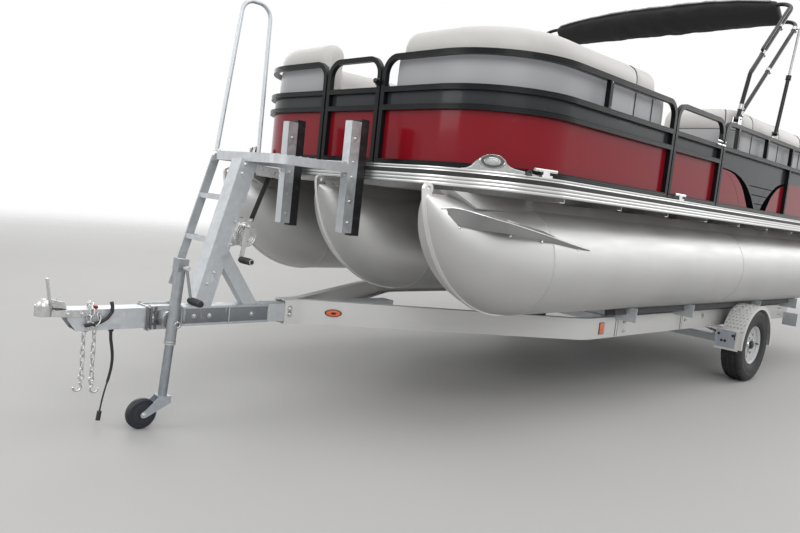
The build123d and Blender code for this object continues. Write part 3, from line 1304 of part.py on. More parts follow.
def lead_radii():
    """Largest radius that each corner's two runs allow."""
    points = [Vector(*point) for point in LEAD_ROUTE]
    radii = []
    for before, corner, after in zip(points, points[1:], points[2:]):
        turn = (corner - before).get_angle(after - corner)
        shorter = min((corner - before).length, (after - corner).length)
        radii.append(0.45 * shorter / tan(radians(turn) / 2))
    return radii


def wiring_lead():
    return round_tube(FilletPolyline(*LEAD_ROUTE, radius=lead_radii()), LEAD_R)


def wiring_plug():
    """Plug body on the lead's free end."""
    end, before = Vector(*LEAD_ROUTE[-1]), Vector(*LEAD_ROUTE[-2])
    return rod(end, end + (end - before).normalized() * PLUG_LENGTH, PLUG_R)


SAVED = []
SHIFT = -(COUPLER_NOSE_X + MOTOR_TAIL_X) / 2


def save(name, *shapes):
    """Write one piece, moved so that the middle of the overall length is the origin."""
    solids = []
    for shape in shapes:
        solids = solids + list(shape.solids())
    moved = [Pos(SHIFT, 0, 0) * solid for solid in solids]
    export_step(moved[0] if len(moved) == 1 else Compound(children=moved), f"parts/{name}.step")
    SAVED.append(name)


os.makedirs("parts", exist_ok=True)

save("pontoon_port", outer_float())
save("pontoon_centre", centre_float())
save("pontoon_starboard", other_side(outer_float()))
save("deck_beams", *deck_beams())
save("deck", deck())
save("rub_rail", rub_rail())
save("rub_rail_insert", rub_rail_insert())
save("fence_frames", *fence_frames())
save("lower_panels", *lower_panels())
save("upper_panels", *upper_panels())
for gate, width in (("bow", BOW_GATE_WIDTH), ("port", PORT_GATE_WIDTH), ("stern", STERN_GATE_WIDTH)):
    save(f"{gate}_gate_frame", swung(gate_frame(width), gate))
    save(f"{gate}_gate_panel", *[swung(panel, gate) for panel in gate_panel(width)])
save("lounge_bases", *lounge_bases())
save("bow_cushions_port", *bow_cushions())
save("bow_cushions_starboard", *[other_side(piece) for piece in bow_cushions()])
save("stern_cushions", *aft_cushions())
save("captain_chair", captain_chair())
save("helm_console", helm_console())
save("steering_wheel", steering_wheel())
save("bimini_bows", *bimini_bows())
save("bimini_boot", bimini_boot())
save("bimini_mounts", *bimini_mounts())
save("bimini_brace_tubes", *both_sides(brace_tube()))
save("bimini_brace_rods", *both_sides(brace_rod()))
save("docking_lights", *docking_lights())
save("cleats", *cleats())
save("motor_bracket", motor_bracket())
save("motor_swivel", motor_swivel())
save("motor_leg", motor_leg())
save("motor_cowl", motor_cowl())
save("propeller", propeller())
save("tongue", tongue())
save("coupler", coupler())
save("frame_rails", *both_sides(frame_rail()))
save("cross_members", *cross_members())
save("bunks", *bunks())
save("axle", axle())
save("fenders", *fenders())
for side_name, side in (("port", 1), ("starboard", -1)):
    save(f"tyre_{side_name}", on_axle(tyre(), side))
    save(f"rim_{side_name}", on_axle(rim(), side))
save("jack_sleeve", jack_sleeve())
save("jack_leg", jack_leg())
save("jack_fork", jack_fork())
save("jack_wheel", jack_wheel())
save("winch_stand", winch_stand())
save("winch", winch())
save("winch_strap", winch_strap())
save("guide_pads", *guide_pads())
save("handrail", handrail())
save("safety_chains", *safety_chains())
save("trailer_lamps", *trailer_lamps())
save("wiring_lead", wiring_lead())
save("wiring_plug", wiring_plug())
print("lead radii", [round(radius) for radius in lead_radii()])
print(len(SAVED), "pieces")
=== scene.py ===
"""Looks of a three-float pontoon boat on its single-axle trailer, laid out as a Blender add-on.

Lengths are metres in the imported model's frame: +X to the bow, +Y to port, +Z up from the floor.
"""

from math import atan2, cos, pi, radians, sin, sqrt, tan

import bmesh
import bpy
from bpy.props import FloatProperty, FloatVectorProperty, PointerProperty
from mathutils import Matrix, Vector, noise


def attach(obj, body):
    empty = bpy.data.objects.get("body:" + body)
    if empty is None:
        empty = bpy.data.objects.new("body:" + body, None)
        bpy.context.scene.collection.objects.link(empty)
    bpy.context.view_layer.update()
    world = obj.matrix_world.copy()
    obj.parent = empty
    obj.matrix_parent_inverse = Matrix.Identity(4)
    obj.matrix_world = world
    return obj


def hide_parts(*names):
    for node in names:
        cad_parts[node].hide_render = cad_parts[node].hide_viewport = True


bl_info = {
    "name": "Pontoon boat on trailer",
    "version": (1, 0, 0),
    "blender": (4, 5, 0),
    "location": "View3D > Sidebar > Pontoon boat",
    "description": "Finishes and small pieces of a pontoon boat that stands on its trailer",
    "category": "Object",
}

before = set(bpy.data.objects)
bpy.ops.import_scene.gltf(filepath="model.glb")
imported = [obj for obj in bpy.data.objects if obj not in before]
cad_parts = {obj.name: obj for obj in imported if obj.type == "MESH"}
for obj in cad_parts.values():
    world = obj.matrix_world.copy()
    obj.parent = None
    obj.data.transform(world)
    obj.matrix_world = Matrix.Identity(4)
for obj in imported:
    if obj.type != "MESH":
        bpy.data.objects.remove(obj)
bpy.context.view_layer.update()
AXLE_X = -0.9075


def at(x, y, z):
    """Point in metres from millimetres measured forward of the trailer's axle."""
    return Vector((x / 1000 + AXLE_X, y / 1000, z / 1000))


# Places in millimetres from the axle, the middle line and the ground

DECK_TOP = 1425
FOOT_RAIL, BAND_RAIL, MIDDLE_RAIL, TOP_RAIL = DECK_TOP + 35, DECK_TOP + 343, DECK_TOP + 446, DECK_TOP + 629
POST_GAP = 15.05
FLOAT_SIDE, FLOAT_HEIGHT, BEAD_RADIUS = 962, 977.5, 318.2
FLOAT_JOINTS = (730, 3380, 5400)  # behind the nose
RAIL_FACE, RAIL_FOOT, RAIL_TOP = 985, 461, 597
TYRE_RADIUS, TYRE_MIDDLE = 318, 1158
BOW_CORNER = Vector((3295, 740))
CROSS_MEMBERS = (-300, -1300)
HELM_SIDE, JACK_SIDE = -640, 160
LEAD_ROUTE = ((5116, 40, 478), (5116, 40, 438), (5107, 41, 392), (5100, 41, 344), (5101, 40, 296),
              (5108, 39, 250), (5119, 39, 206), (5130, 40, 162), (5139, 41, 118), (5145, 41, 74))


# Properties

def paint(name, description, value):
    return FloatVectorProperty(name=name, description=description, default=value, size=3, min=0.0, max=1.0,
                               subtype="COLOR")


def length(name, description, value):
    return FloatProperty(name=name, description=description, default=value, min=0.0, unit="LENGTH",
                         subtype="DISTANCE")


def share(name, description, value):
    return FloatProperty(name=name, description=description, default=value, min=0.0, max=1.0, subtype="FACTOR")


class HullLook(bpy.types.PropertyGroup):
    metal: paint("Float metal", "Colour of the bare floats", (0.60, 0.60, 0.595))
    roughness: share("Float roughness", "How dull the bare floats are", 0.5)
    rail_metal: paint("Rail metal", "Colour of the deck's edge rail", (0.66, 0.66, 0.655))
    floor: paint("Deck floor", "Colour of the woven deck covering", (0.36, 0.34, 0.31))


class FenceLook(bpy.types.PropertyGroup):
    tube: paint("Tube paint", "Colour of the fence tubes", (0.007, 0.008, 0.009))
    red: paint("Red panel", "Colour of the lower panels", (0.245, 0.006, 0.014))
    charcoal: paint("Charcoal panel", "Colour of the upper panels", (0.036, 0.040, 0.043))
    band: length("Band width", "Width of the thin lines on the aft panels", 0.006)


class SeatLook(bpy.types.PropertyGroup):
    light: paint("Light vinyl", "Colour of the crowned tops and the seats", (0.60, 0.59, 0.57))
    grey: paint("Grey vinyl", "Colour of the backs' outer faces", (0.40, 0.405, 0.42))
    shell: paint("Seat base", "Colour of the moulded seat boxes", (0.34, 0.34, 0.345))
    piping: length("Piping", "Thickness of the piping cord", 0.007)


class TopLook(bpy.types.PropertyGroup):
    canvas: paint("Canvas", "Colour of the folding top's boot", (0.006, 0.006, 0.007))
    tube: paint("Bow paint", "Colour of the folding top's tubes", (0.013, 0.013, 0.014))


class MotorLook(bpy.types.PropertyGroup):
    cowl: paint("Motor paint", "Colour of the outboard motor", (0.014, 0.015, 0.018))
    propeller: paint("Propeller metal", "Colour of the propeller", (0.62, 0.62, 0.61))


class TrailerLook(bpy.types.PropertyGroup):
    zinc_coat: paint("Galvanised steel", "Colour of the galvanised tongue and stand", (0.55, 0.575, 0.595))
    bright: paint("Zinc plate", "Colour of the plated fittings", (0.60, 0.605, 0.60))
    rails: paint("Frame paint", "Colour of the frame rails and fenders", (0.70, 0.70, 0.685))
    carpet: paint("Bunk carpet", "Colour of the bunks", (0.035, 0.036, 0.040))
    rubber: paint("Tyre rubber", "Colour of the tyres", (0.018, 0.018, 0.019))
    wheel: paint("Wheel silver", "Colour of the road wheels", (0.60, 0.61, 0.62))
    amber: paint("Amber lens", "Colour of the side reflectors", (0.80, 0.13, 0.015))
    red_lens: paint("Red lens", "Colour of the rear lamps", (0.45, 0.01, 0.01))


class StageLook(bpy.types.PropertyGroup):
    floor: paint("Floor", "Colour of the studio floor", (0.50, 0.495, 0.49))
    lens: FloatProperty(name="Lens", description="Focal length of the camera", default=31.81, min=1.0, unit="CAMERA")
    key: FloatProperty(name="Key light", description="Power of the large front light", default=380.0, min=0.0,
                       unit="POWER")


class BoatLook(bpy.types.PropertyGroup):
    hull: PointerProperty(type=HullLook)
    fence: PointerProperty(type=FenceLook)
    seats: PointerProperty(type=SeatLook)
    top: PointerProperty(type=TopLook)
    motor: PointerProperty(type=MotorLook)
    trailer: PointerProperty(type=TrailerLook)
    stage: PointerProperty(type=StageLook)


# Shader maths

class Wire:
    """A shader socket in an expression; each operation adds its Math node."""

    def __init__(self, nodes, socket):
        self.nodes = nodes
        self.socket = socket

    def math(self, operation, *values):
        return self.nodes.node("Math", {"operation": operation}, dict(enumerate(values)))

    def __add__(self, other):
        return self.math("ADD", self, other)

    __radd__ = __add__

    def __mul__(self, other):
        return self.math("MULTIPLY", self, other)

    __rmul__ = __mul__

    def __sub__(self, other):
        return self.math("SUBTRACT", self, other)

    def __rsub__(self, other):
        return self.math("SUBTRACT", other, self)

    def __truediv__(self, other):
        return self.math("DIVIDE", self, other)

    def __pow__(self, other):
        return self.math("POWER", self, other)

    def ribs(self, rate):
        """Waves from 0 to 1 along a distance."""
        return (self * rate).sine() * 0.5 + 0.5

    def __abs__(self):
        return self.math("ABSOLUTE", self)

    def __gt__(self, other):
        return self.math("GREATER_THAN", self, other)

    def __lt__(self, other):
        return self.math("LESS_THAN", self, other)

    def most(self, other):
        return self.math("MAXIMUM", self, other)

    def least(self, other):
        return self.math("MINIMUM", self, other)

    def sine(self):
        return self.math("SINE", self)

    def near(self, middle, reach):
        """1 at a value, falling to 0 at a distance from it."""
        return (1 - abs(self - middle) / reach).most(0.0)

    def between(self, low, high):
        """0 below one value, 1 above another, smooth between."""
        return self.nodes.node("MapRange", {"interpolation_type": "SMOOTHSTEP"},
                                {"Value": self, "From Min": low, "From Max": high})


class Nodes:
    """The node tree of a material or of the world while it is made."""

    def __init__(self, owner):
        owner.use_nodes = True
        self.tree = owner.node_tree
        self.tree.nodes.clear()

    def node(self, kind, settings=None, sockets=None, out=0):
        """Add a node with its settings and the values or links of its sockets; gives one of its outputs."""
        made = self.tree.nodes.new("ShaderNode" + kind)
        for name, value in (settings or {}).items():
            setattr(made, name, value)
        for name, value in (sockets or {}).items():
            socket = made.inputs[name]
            if isinstance(value, Wire):
                self.tree.links.new(value.socket, socket)
            elif hasattr(socket.default_value, "__len__") and len(socket.default_value) == 4:
                socket.default_value = (*value, 1.0)
            else:
                socket.default_value = value
        return Wire(self, made.outputs[out]) if made.outputs else None


class Finish(Nodes):
    """A procedural material while it is made."""

    def __init__(self, name):
        self.material = bpy.data.materials.new(name)
        super().__init__(self.material)
        self.place = self.node("TexCoord", out="Object")
        self.x, self.y, self.z = (self.node("SeparateXYZ", None, {0: self.place}, out=a) for a in "XYZ")

    def noise(self, scale, detail=3.0, stretch=(1, 1, 1), rough=0.5):
        where = self.place
        if stretch != (1, 1, 1):
            where = self.node("VectorMath", {"operation": "MULTIPLY"}, {0: self.place, 1: stretch})
        return self.node("TexNoise", None, {"Vector": where, "Scale": scale, "Detail": detail, "Roughness": rough})

    def cells(self, scale, feature="F1", out="Distance"):
        return self.node("TexVoronoi", {"feature": feature}, {"Vector": self.place, "Scale": scale}, out=out)

    def blend(self, factor, low, high):
        """Colour between two colours."""
        return self.node("Mix", {"data_type": "RGBA"}, {0: factor, 6: low, 7: high}, out=2)

    def shades(self, factor, colour, spread):
        """A colour made darker and lighter by a factor from 0 to 1."""
        low = [c * (1 - spread) for c in colour]
        high = [min(1.0, c * (1 + spread)) for c in colour]
        return self.blend(factor, low, high)

    def bump(self, height, depth, strength=1.0, under=None):
        sockets = {"Strength": strength, "Distance": depth, "Height": height}
        if under:
            sockets["Normal"] = under
        return self.node("Bump", None, sockets)

    def done(self, **sockets):
        """Wire the surface shader; names are its sockets with underscores."""
        named = {name.replace("_", " "): value for name, value in sockets.items()}
        self.node("OutputMaterial", None, {"Surface": self.node("BsdfPrincipled", None, named)})
        return self.material


def bare_aluminium(look, name, middle_y, nose_x):
    """Brushed satin tube metal with a seam where the nose joins and a bright keel edge."""
    f = Finish(name)
    streak = f.noise(26, 4, (0.16, 1, 1))
    cloud = f.noise(1.7, 5, rough=0.6)
    scratch = f.noise(240, 2, (0.03, 1, 1))
    first, second, third = (f.x.near(nose_x - back / 1000, reach)
                            for back, reach in zip(FLOAT_JOINTS, (0.010, 0.008, 0.008)))
    seam = first.most(second).most(third)
    ripple = (f.node("VectorMath", {"operation": "LENGTH"}, {0: f.place}, out="Value") * 900).sine()
    edge = (abs(f.y - middle_y) < 0.0125) * (f.x > nose_x - 0.72)
    base = f.shades(cloud, look.metal, 0.10)
    base = f.blend(edge, f.blend(seam * 0.2, base, (0.50, 0.49, 0.47)), (0.84, 0.83, 0.81))
    rough = look.roughness + (streak - 0.5) * 0.22 + (cloud - 0.5) * 0.16 - edge * 0.08
    skin = f.bump(scratch + streak * 0.7, 0.0006, 0.35)
    return f.done(Base_Color=base, Metallic=0.85, Roughness=rough.most(0.24),
                  Normal=f.bump(seam + seam * ripple * 0.4, 0.0015, 0.8, skin))


def extruded_aluminium(look):
    """Bright drawn rail metal: rounded bands, with painted shade making the dark lines in the grooves between them.
    """
    f = Finish("rail_metal")
    low = abs(((f.z - 1.344) * (pi / 0.018)).sine())
    high = abs(((f.z - 1.409) * (pi / 0.0175)).sine())
    above = f.z > 1.400
    band = low * (1 - above) + high * above
    cloud = f.noise(3, 4)
    # the colour falls to a third where the bands meet: painted shade in the grooves between the rounded bands
    base = f.blend(band.between(0.0, 0.42), [c * 0.30 for c in look.rail_metal],
            f.shades(cloud, look.rail_metal, 0.08))
    return f.done(Base_Color=base, Metallic=0.92, Roughness=0.30 + (cloud - 0.5) * 0.12,
                  Normal=f.bump(band, 0.0035, 0.6))


def galvanised(name, colour, scale=38):
    """Hot-dip zinc: pale crystal patches, blotches and a rough edge."""
    f = Finish(name)
    patch = f.node("SeparateColor", None, {0: f.cells(scale, out="Color")})
    blotch = f.noise(7, 5, rough=0.65)
    run = f.noise(34, 4, (1, 1, 0.3))
    base = f.shades(patch * 0.3 + blotch * 0.7, colour, 0.2)
    base = f.blend(run.between(0.62, 0.74) * 0.35, base, (0.80, 0.80, 0.78))
    return f.done(Base_Color=base, Metallic=0.72, Roughness=0.34 + patch * 0.16 + blotch * 0.12,
                  Normal=f.bump(run + patch * 0.3, 0.0012, 0.35))


def plated(name, colour, roughness=0.26):
    """Bright plated steel with a little tarnish."""
    f = Finish(name)
    tarnish = f.noise(48, 4)
    return f.done(Base_Color=f.shades(tarnish, colour, 0.22), Metallic=0.96,
                  Roughness=roughness + (tarnish - 0.5) * 0.2, Normal=f.bump(f.noise(300, 2), 0.0003, 0.2))


def gloss_paint(name, colour, roughness=0.16, coat=0.14, shine=0.14):
    """Sprayed gloss paint: faint orange peel, slow waves of the sheet and a little dust."""
    f = Finish(name)
    dust = f.noise(30, 5)
    base = f.shades(f.noise(1.4, 3), colour, 0.07)
    base = f.blend(dust.between(0.66, 0.9) * 0.12, base, (0.5, 0.49, 0.47))
    return f.done(Base_Color=base, Roughness=roughness + (dust - 0.5) * 0.10, Coat_Weight=coat, Coat_Roughness=0.05,
            Specular_IOR_Level=shine, Normal=f.bump(f.noise(420, 2), 0.00006, 0.35,
            f.bump(f.noise(2.2, 2), 0.0008, 0.5)))


def tube_paint(colour, rails):
    """Gloss black tube paint, with the two fine grooves of the level rails."""
    f = Finish("tube_paint")
    dust = f.noise(40, 4)
    groove = None
    for z in rails:
        pair = f.z.near(z - 0.005, 0.0016).most(f.z.near(z + 0.005, 0.0016))
        groove = pair if groove is None else groove.most(pair)
    base = f.blend(dust.between(0.6, 0.9) * 0.08, f.shades(f.noise(3, 3), colour, 0.1), (0.2, 0.2, 0.2))
    return f.done(Base_Color=base, Roughness=0.24 + dust * 0.14, Coat_Weight=0.05, Coat_Roughness=0.08,
                  Specular_IOR_Level=0.15,
                  Normal=f.bump(1 - groove, 0.0012, 0.9, f.bump(f.noise(380, 2), 0.00008, 0.3)))


def vinyl(name, colour, roughness=0.46):
    """Soft marine vinyl: fine leather grain and gentle soiling."""
    f = Finish(name)
    grain = f.cells(520, "DISTANCE_TO_EDGE")
    cloud = f.noise(5, 4)
    crease = f.noise(26, 5, rough=0.62)
    base = f.shades(cloud * 0.7 + crease * 0.3, colour, 0.07)
    return f.done(Base_Color=base, Roughness=roughness + (cloud - 0.5) * 0.12, Coat_Weight=0.08, Coat_Roughness=0.4,
                  Sheen_Weight=0.05, Normal=f.bump(grain.least(0.2), 0.0004, 0.35, f.bump(crease, 0.0016, 0.35)))


def canvas(colour):
    """Woven acrylic canvas: crossed threads, folds with painted light and shade on them, and lint."""
    f = Finish("canvas")
    warp = f.y.ribs(5200)
    weft = (f.x + f.z).ribs(5200)
    fold = f.noise(9, 5, (1, 0.35, 1))
    lint = f.noise(110, 4)
    # the fold pattern also lightens and darkens the colour by 30 percent: painted light and shade on the folds
    base = f.blend(lint.between(0.62, 0.8) * 0.25 + warp * weft * 0.25, f.shades(fold, colour, 0.3),
            (0.030, 0.030, 0.032))
    return f.done(Base_Color=base, Roughness=0.72, Sheen_Weight=0.10, Sheen_Roughness=0.5,
                  Normal=f.bump(warp + weft, 0.0004, 0.4, f.bump(fold, 0.006, 0.55)))


def rubber(name, colour, roughness=0.62):
    f = Finish(name)
    bloom = f.noise(22, 5)
    base = f.blend(bloom.between(0.5, 0.85) * 0.35, f.shades(bloom, colour, 0.15), (0.10, 0.10, 0.10))
    return f.done(Base_Color=base, Roughness=roughness + (bloom - 0.5) * 0.16,
                  Normal=f.bump(f.noise(260, 3), 0.0004, 0.4))


def moulded(name, colour, roughness=0.4, grain=0.0005):
    """Textured moulded plastic."""
    f = Finish(name)
    pit = f.cells(300)
    cloud = f.noise(4, 3)
    return f.done(Base_Color=f.shades(cloud, colour, 0.06), Roughness=roughness + (cloud - 0.5) * 0.1,
                  Normal=f.bump(pit, grain, 0.35))


def canvas_tape(colour):
    """Ribbed webbing tape."""
    f = Finish("canvas_tape")
    rib = f.y.ribs(2400)
    return f.done(Base_Color=f.shades(rib, colour, 0.3), Roughness=0.7 - rib * 0.1, Normal=f.bump(rib, 0.0006, 0.5))


def strap_web(name, colour):
    """Woven strap: ribs along it and a paler edge thread."""
    f = Finish(name)
    rib = f.y.ribs(3000)
    edge = (abs(f.y) > 0.0205) * 0.5
    wear = f.noise(40, 4)
    base = f.blend(edge + wear * 0.2, f.shades(rib, colour, 0.35), (0.10, 0.10, 0.10))
    return f.done(Base_Color=base, Roughness=0.82 + wear * 0.1, Normal=f.bump(rib, 0.0008, 0.6))


def carpet(colour):
    f = Finish("bunk_carpet")
    tuft = f.noise(420, 4, rough=0.7)
    wear = f.noise(9, 4)
    base = f.blend(tuft * 0.5 + wear * 0.4, [c * 0.5 for c in colour], [min(1, c * 2.4) for c in colour])
    return f.done(Base_Color=base, Roughness=0.95, Sheen_Weight=0.3, Normal=f.bump(tuft, 0.003, 0.8))


def woven_floor(colour):
    """Woven vinyl deck covering: short crossed ribs in two tones."""
    f = Finish("deck_floor")
    rib_x = f.x.ribs(900)
    rib_y = f.y.ribs(900)
    check = f.node("TexChecker", None, {"Vector": f.place, "Scale": 140.0}, out="Fac")
    thread = rib_x * check + rib_y * (1 - check)
    base = f.blend(thread * 0.6 + f.noise(60, 3) * 0.3, [c * 0.62 for c in colour],
            [min(1, c * 1.35) for c in colour])
    return f.done(Base_Color=base, Roughness=0.66, Normal=f.bump(thread, 0.0012, 0.6))


def lens(name, colour):
    """Moulded lamp lens with small prisms."""
    f = Finish(name)
    prism = f.cells(330)
    return f.done(Base_Color=f.shades(prism, colour, 0.3), Roughness=0.14, Coat_Weight=0.8, Coat_Roughness=0.04,
                  Normal=f.bump(prism, 0.0008, 0.5))


def frame_paint(colour):
    """White frame paint with road film towards the lower edge."""
    f = Finish("frame_paint")
    film = f.noise(11, 5, (0.4, 1, 1)) * (1 - f.z.between(0.46, 0.56))
    base = f.blend(film * 0.30, f.shades(f.noise(2, 3), colour, 0.04), (0.42, 0.41, 0.39))
    return f.done(Base_Color=base, Roughness=0.30 + film * 0.25, Coat_Weight=0.3, Coat_Roughness=0.12,
                  Normal=f.bump(f.noise(300, 2), 0.0001, 0.3))


def two_tone(look, split):
    """Gate skin: red below the band rail and charcoal above it."""
    f = Finish("gate_skin")
    above = f.z > split
    base = f.blend(above, f.shades(f.noise(1.4, 3), look.red, 0.07), f.shades(f.noise(2, 3), look.charcoal, 0.08))
    return f.done(Base_Color=base, Roughness=0.16 + f.noise(30, 4) * 0.08, Coat_Weight=0.14, Coat_Roughness=0.05,
                  Specular_IOR_Level=0.14, Normal=f.bump(f.noise(2.2, 2), 0.0008, 0.5))


# Mesh making

SIDES = (("port", 1), ("starboard", -1))


def turns(count):
    """Angles evenly round a circle."""
    return [2 * pi * k / count for k in range(count)]


def squared(value, power):
    """A sine or cosine drawn out towards 1 or -1, which squares off a round outline."""
    return abs(value) ** power * (1 if value > 0 else -1)


def applied(piece):
    """Mesh of a piece with its modifiers applied."""
    return bpy.data.meshes.new_from_object(piece.evaluated_get(bpy.context.evaluated_depsgraph_get()))


class Mould:
    """Mesh being made in metres; each face carries the number of its finish."""

    def __init__(self):
        self.empty()

    def empty(self):
        self.points, self.faces, self.finishes = [], [], []

    def loft(self, rings, finish=0, caps=True, wrap=False):
        """Skin rings of equal counts; wrap joins the last ring to the first."""
        count, first = len(rings[0]), len(self.points)
        faces = []
        for r in range(len(rings) if wrap else len(rings) - 1):
            a, b = first + r * count, first + (r + 1) % len(rings) * count
            faces += [[a + i, a + (i + 1) % count, b + (i + 1) % count, b + i] for i in range(count)]
        if caps and not wrap:
            last = first + (len(rings) - 1) * count
            faces += [[first + i for i in range(count)][::-1], [last + i for i in range(count)]]
        self.points += [Vector(p) for ring in rings for p in ring]
        self.faces += faces
        self.finishes += [finish] * len(faces)

    def tube(self, path, radius, sides=12, finish=0, wrap=False):
        """Round bar along points; radius is one value or one for each point."""
        path = [Vector(p) for p in path]
        radii = radius if hasattr(radius, "__len__") else [radius] * len(path)
        rings, across = [], None
        for i, point in enumerate(path):
            before = path[i - 1] if i or wrap else point
            after = path[(i + 1) % len(path)] if i + 1 < len(path) or wrap else point
            heading = (after - before).normalized()
            if across is None:
                across = heading.orthogonal().normalized()
            across = (across - heading * across.dot(heading)).normalized()
            side = heading.cross(across)
            rings.append([point + (across * cos(t) + side * sin(t)) * radii[i] for t in turns(sides)])
        self.loft(rings, finish, wrap=wrap)

    def turned(self, centre, axis, profile, sides=40, finish=0):
        """Solid of (radius, distance along the axis) points."""
        axis = Vector(axis).normalized()
        across = axis.orthogonal().normalized()
        side = axis.cross(across)
        rings = [[Vector(centre) + axis * along + (across * cos(t) + side * sin(t)) * max(radius, 1e-5)
                  for t in turns(sides)] for radius, along in profile]
        self.loft(rings, finish)

    def prism(self, outline, depth, finish=0):
        """Plate of an outline and a depth vector."""
        depth = Vector(depth)
        self.loft([[Vector(p) for p in outline], [Vector(p) + depth for p in outline]], finish)

    def box(self, corner, other, finish=0):
        """Box between two opposite corners."""
        (x0, x1), (y0, y1), (z0, z1) = (sorted(pair) for pair in zip(corner, other))
        self.prism([(x0, y0, z0), (x1, y0, z0), (x1, y1, z0), (x0, y1, z0)], (0, 0, z1 - z0), finish)

    def bolt(self, place, axis, radius=0.009, finish=0, stub=0.006):
        """Hexagon nut on a washer with the bolt's end."""
        place, axis = Vector(place), Vector(axis).normalized()
        self.turned(place, axis, [(radius * 1.45, 0), (radius * 1.45, radius * 0.2)], 20, finish)
        self.turned(place, axis, [(radius, radius * 0.2), (radius * 1.02, radius * 0.9), (radius * 0.86, radius)],
                    6, finish)
        self.turned(place, axis, [(radius * 0.52, radius), (radius * 0.52, radius + stub)], 12, finish)

    def bolts(self, places, axis, radius, finish=0, stub=0.006):
        """The same bolt at each place."""
        for place in places:
            self.bolt(place, axis, radius, finish, stub)

    def piece(self, name, materials, body="root", slot=None, sharp=35, bevel=0.0):
        """The finished object, which rides on a body; the mould is empty again after it."""
        mesh = bpy.data.meshes.new(name)
        mesh.from_pydata(self.points, [], self.faces)
        for material in materials if isinstance(materials, (list, tuple)) else [materials]:
            mesh.materials.append(material)
        mesh.polygons.foreach_set("material_index", self.finishes)
        work = bmesh.new()
        work.from_mesh(mesh)
        bmesh.ops.recalc_face_normals(work, faces=work.faces)
        if bevel:
            edges = [e for e in work.edges if e.is_manifold and e.calc_face_angle(0) > radians(45)]
            bmesh.ops.bevel(work, geom=edges, offset=bevel, segments=2, profile=0.6, affect="EDGES",
                            clamp_overlap=True)
        for edge in work.edges:
            edge.smooth = not (edge.is_manifold and edge.calc_face_angle(0) > radians(sharp))
        for face in work.faces:
            face.smooth = True
        work.to_mesh(mesh)
        work.free()
        made = bpy.data.objects.new(name, mesh)
        bpy.context.scene.collection.objects.link(made)
        self.empty()
        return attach(made, body)


def grip(mould, end, profile, ribs, start, rib):
    """Turned handle grip that points to port, with raised ribs round it."""
    mould.turned(end, (0, 1, 0), profile, 28)
    for k in range(ribs):
        mould.turned(end + Vector((0, start + 0.011 * k, 0)), (0, 1, 0), rib, 28)


def dress(material, *nodes):
    """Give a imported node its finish."""
    for node in nodes:
        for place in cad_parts[node].material_slots:
            place.material = material


def spaced(line, step):
    """Points a step apart along a line of points, with both ends kept."""
    line = [Vector(p) for p in line]
    runs = [(b - a).length for a, b in zip(line, line[1:])]
    count = max(2, round(sum(runs) / step))
    points, i, done = [], 0, 0.0
    for k in range(count + 1):
        goal = sum(runs) * k / count
        while i < len(runs) - 1 and done + runs[i] < goal - 1e-9:
            done += runs[i]
            i += 1
        points.append(line[i].lerp(line[i + 1], min(1.0, (goal - done) / max(runs[i], 1e-9))))
    return points


def rounded_line(corners, radius, steps=10):
    """Plan line with an arc at each inner corner."""
    line = [Vector(corners[0])]
    for before, corner, after in zip(corners, corners[1:], corners[2:]):
        before, corner, after = Vector(before), Vector(corner), Vector(after)
        a, b = (before - corner).normalized(), (after - corner).normalized()
        reach = radius / tan(a.angle(b) / 2)
        centre = corner + (a + b).normalized() * (radius / sin(a.angle(b) / 2))
        start, end = corner + a * reach - centre, corner + b * reach - centre
        turn = start.angle(end)
        line += [centre + (start * sin((1 - t) * turn) + end * sin(t * turn)) / sin(turn)
                 for t in (k / steps for k in range(steps + 1))]
    line.append(Vector(corners[-1]))
    return line


def stations(line, marks, step):
    """Distance, point and inward direction at places about a step apart along a plan line, marks among them."""
    runs = [(b - a).length for a, b in zip(line, line[1:])]
    total = sum(runs)
    goals = sorted({round(total * k / round(total / step), 3) for k in range(round(total / step) + 1)})
    goals = [g for g in goals if g in (0, goals[-1]) or all(abs(g - m) > step / 2 for m in marks)]
    goals = sorted(goals + [m for m in marks if m < total])
    places, i, done = [], 0, 0.0
    for goal in goals:
        while i < len(runs) - 1 and done + runs[i] < goal - 1e-6:
            done += runs[i]
            i += 1
        heading = (line[i + 1] - line[i]).normalized()
        if 0 < i and goal - done < 1:
            heading = (heading + (line[i] - line[i - 1]).normalized()).normalized()
        places.append((goal, line[i].lerp(line[i + 1], min(1.0, (goal - done) / runs[i])),
                       Vector((-heading.y, heading.x))))
    return places


SETTLING_FRAMES = 14


def drape(piece, pinned, pressure, cap, stiff=12.0):
    """Puff a closed mesh as padded fabric: sewn points stay, the rest swells and creases, up to a cap."""
    rest = [v.co.copy() for v in piece.data.vertices]
    group = piece.vertex_groups.new(name="sewn")
    for index, weight in enumerate(pinned):
        if weight:
            group.add([index], weight, "REPLACE")
    cloth = piece.modifiers.new("cloth", "CLOTH")
    settings = cloth.settings
    settings.quality = 5
    settings.mass = 0.3
    settings.tension_stiffness = settings.compression_stiffness = stiff
    settings.bending_stiffness = 0.6
    settings.use_pressure = True
    settings.uniform_pressure_force = pressure
    settings.vertex_group_mass = "sewn"
    settings.effector_weights.gravity = 0.0
    cloth.collision_settings.use_collision = False
    scene = bpy.context.scene
    for number in range(1, SETTLING_FRAMES + 1):
        scene.frame_set(number)
    settled = piece.evaluated_get(bpy.context.evaluated_depsgraph_get()).data
    moved = [v.co.copy() for v in settled.vertices]
    piece.modifiers.remove(cloth)
    piece.vertex_groups.remove(group)
    for vertex, start, end in zip(piece.data.vertices, rest, moved):
        step = end - start
        vertex.co = start + (step * (cap / step.length) if step.length > cap else step)
    scene.frame_set(1)


def rounder(piece):
    """Subdivide a finished mesh."""
    modifier = piece.modifiers.new("rounder", "SUBSURF")
    modifier.levels = modifier.render_levels = 1
    mesh = applied(piece)
    piece.modifiers.remove(modifier)
    piece.data = mesh
    for face in mesh.polygons:
        face.use_smooth = True


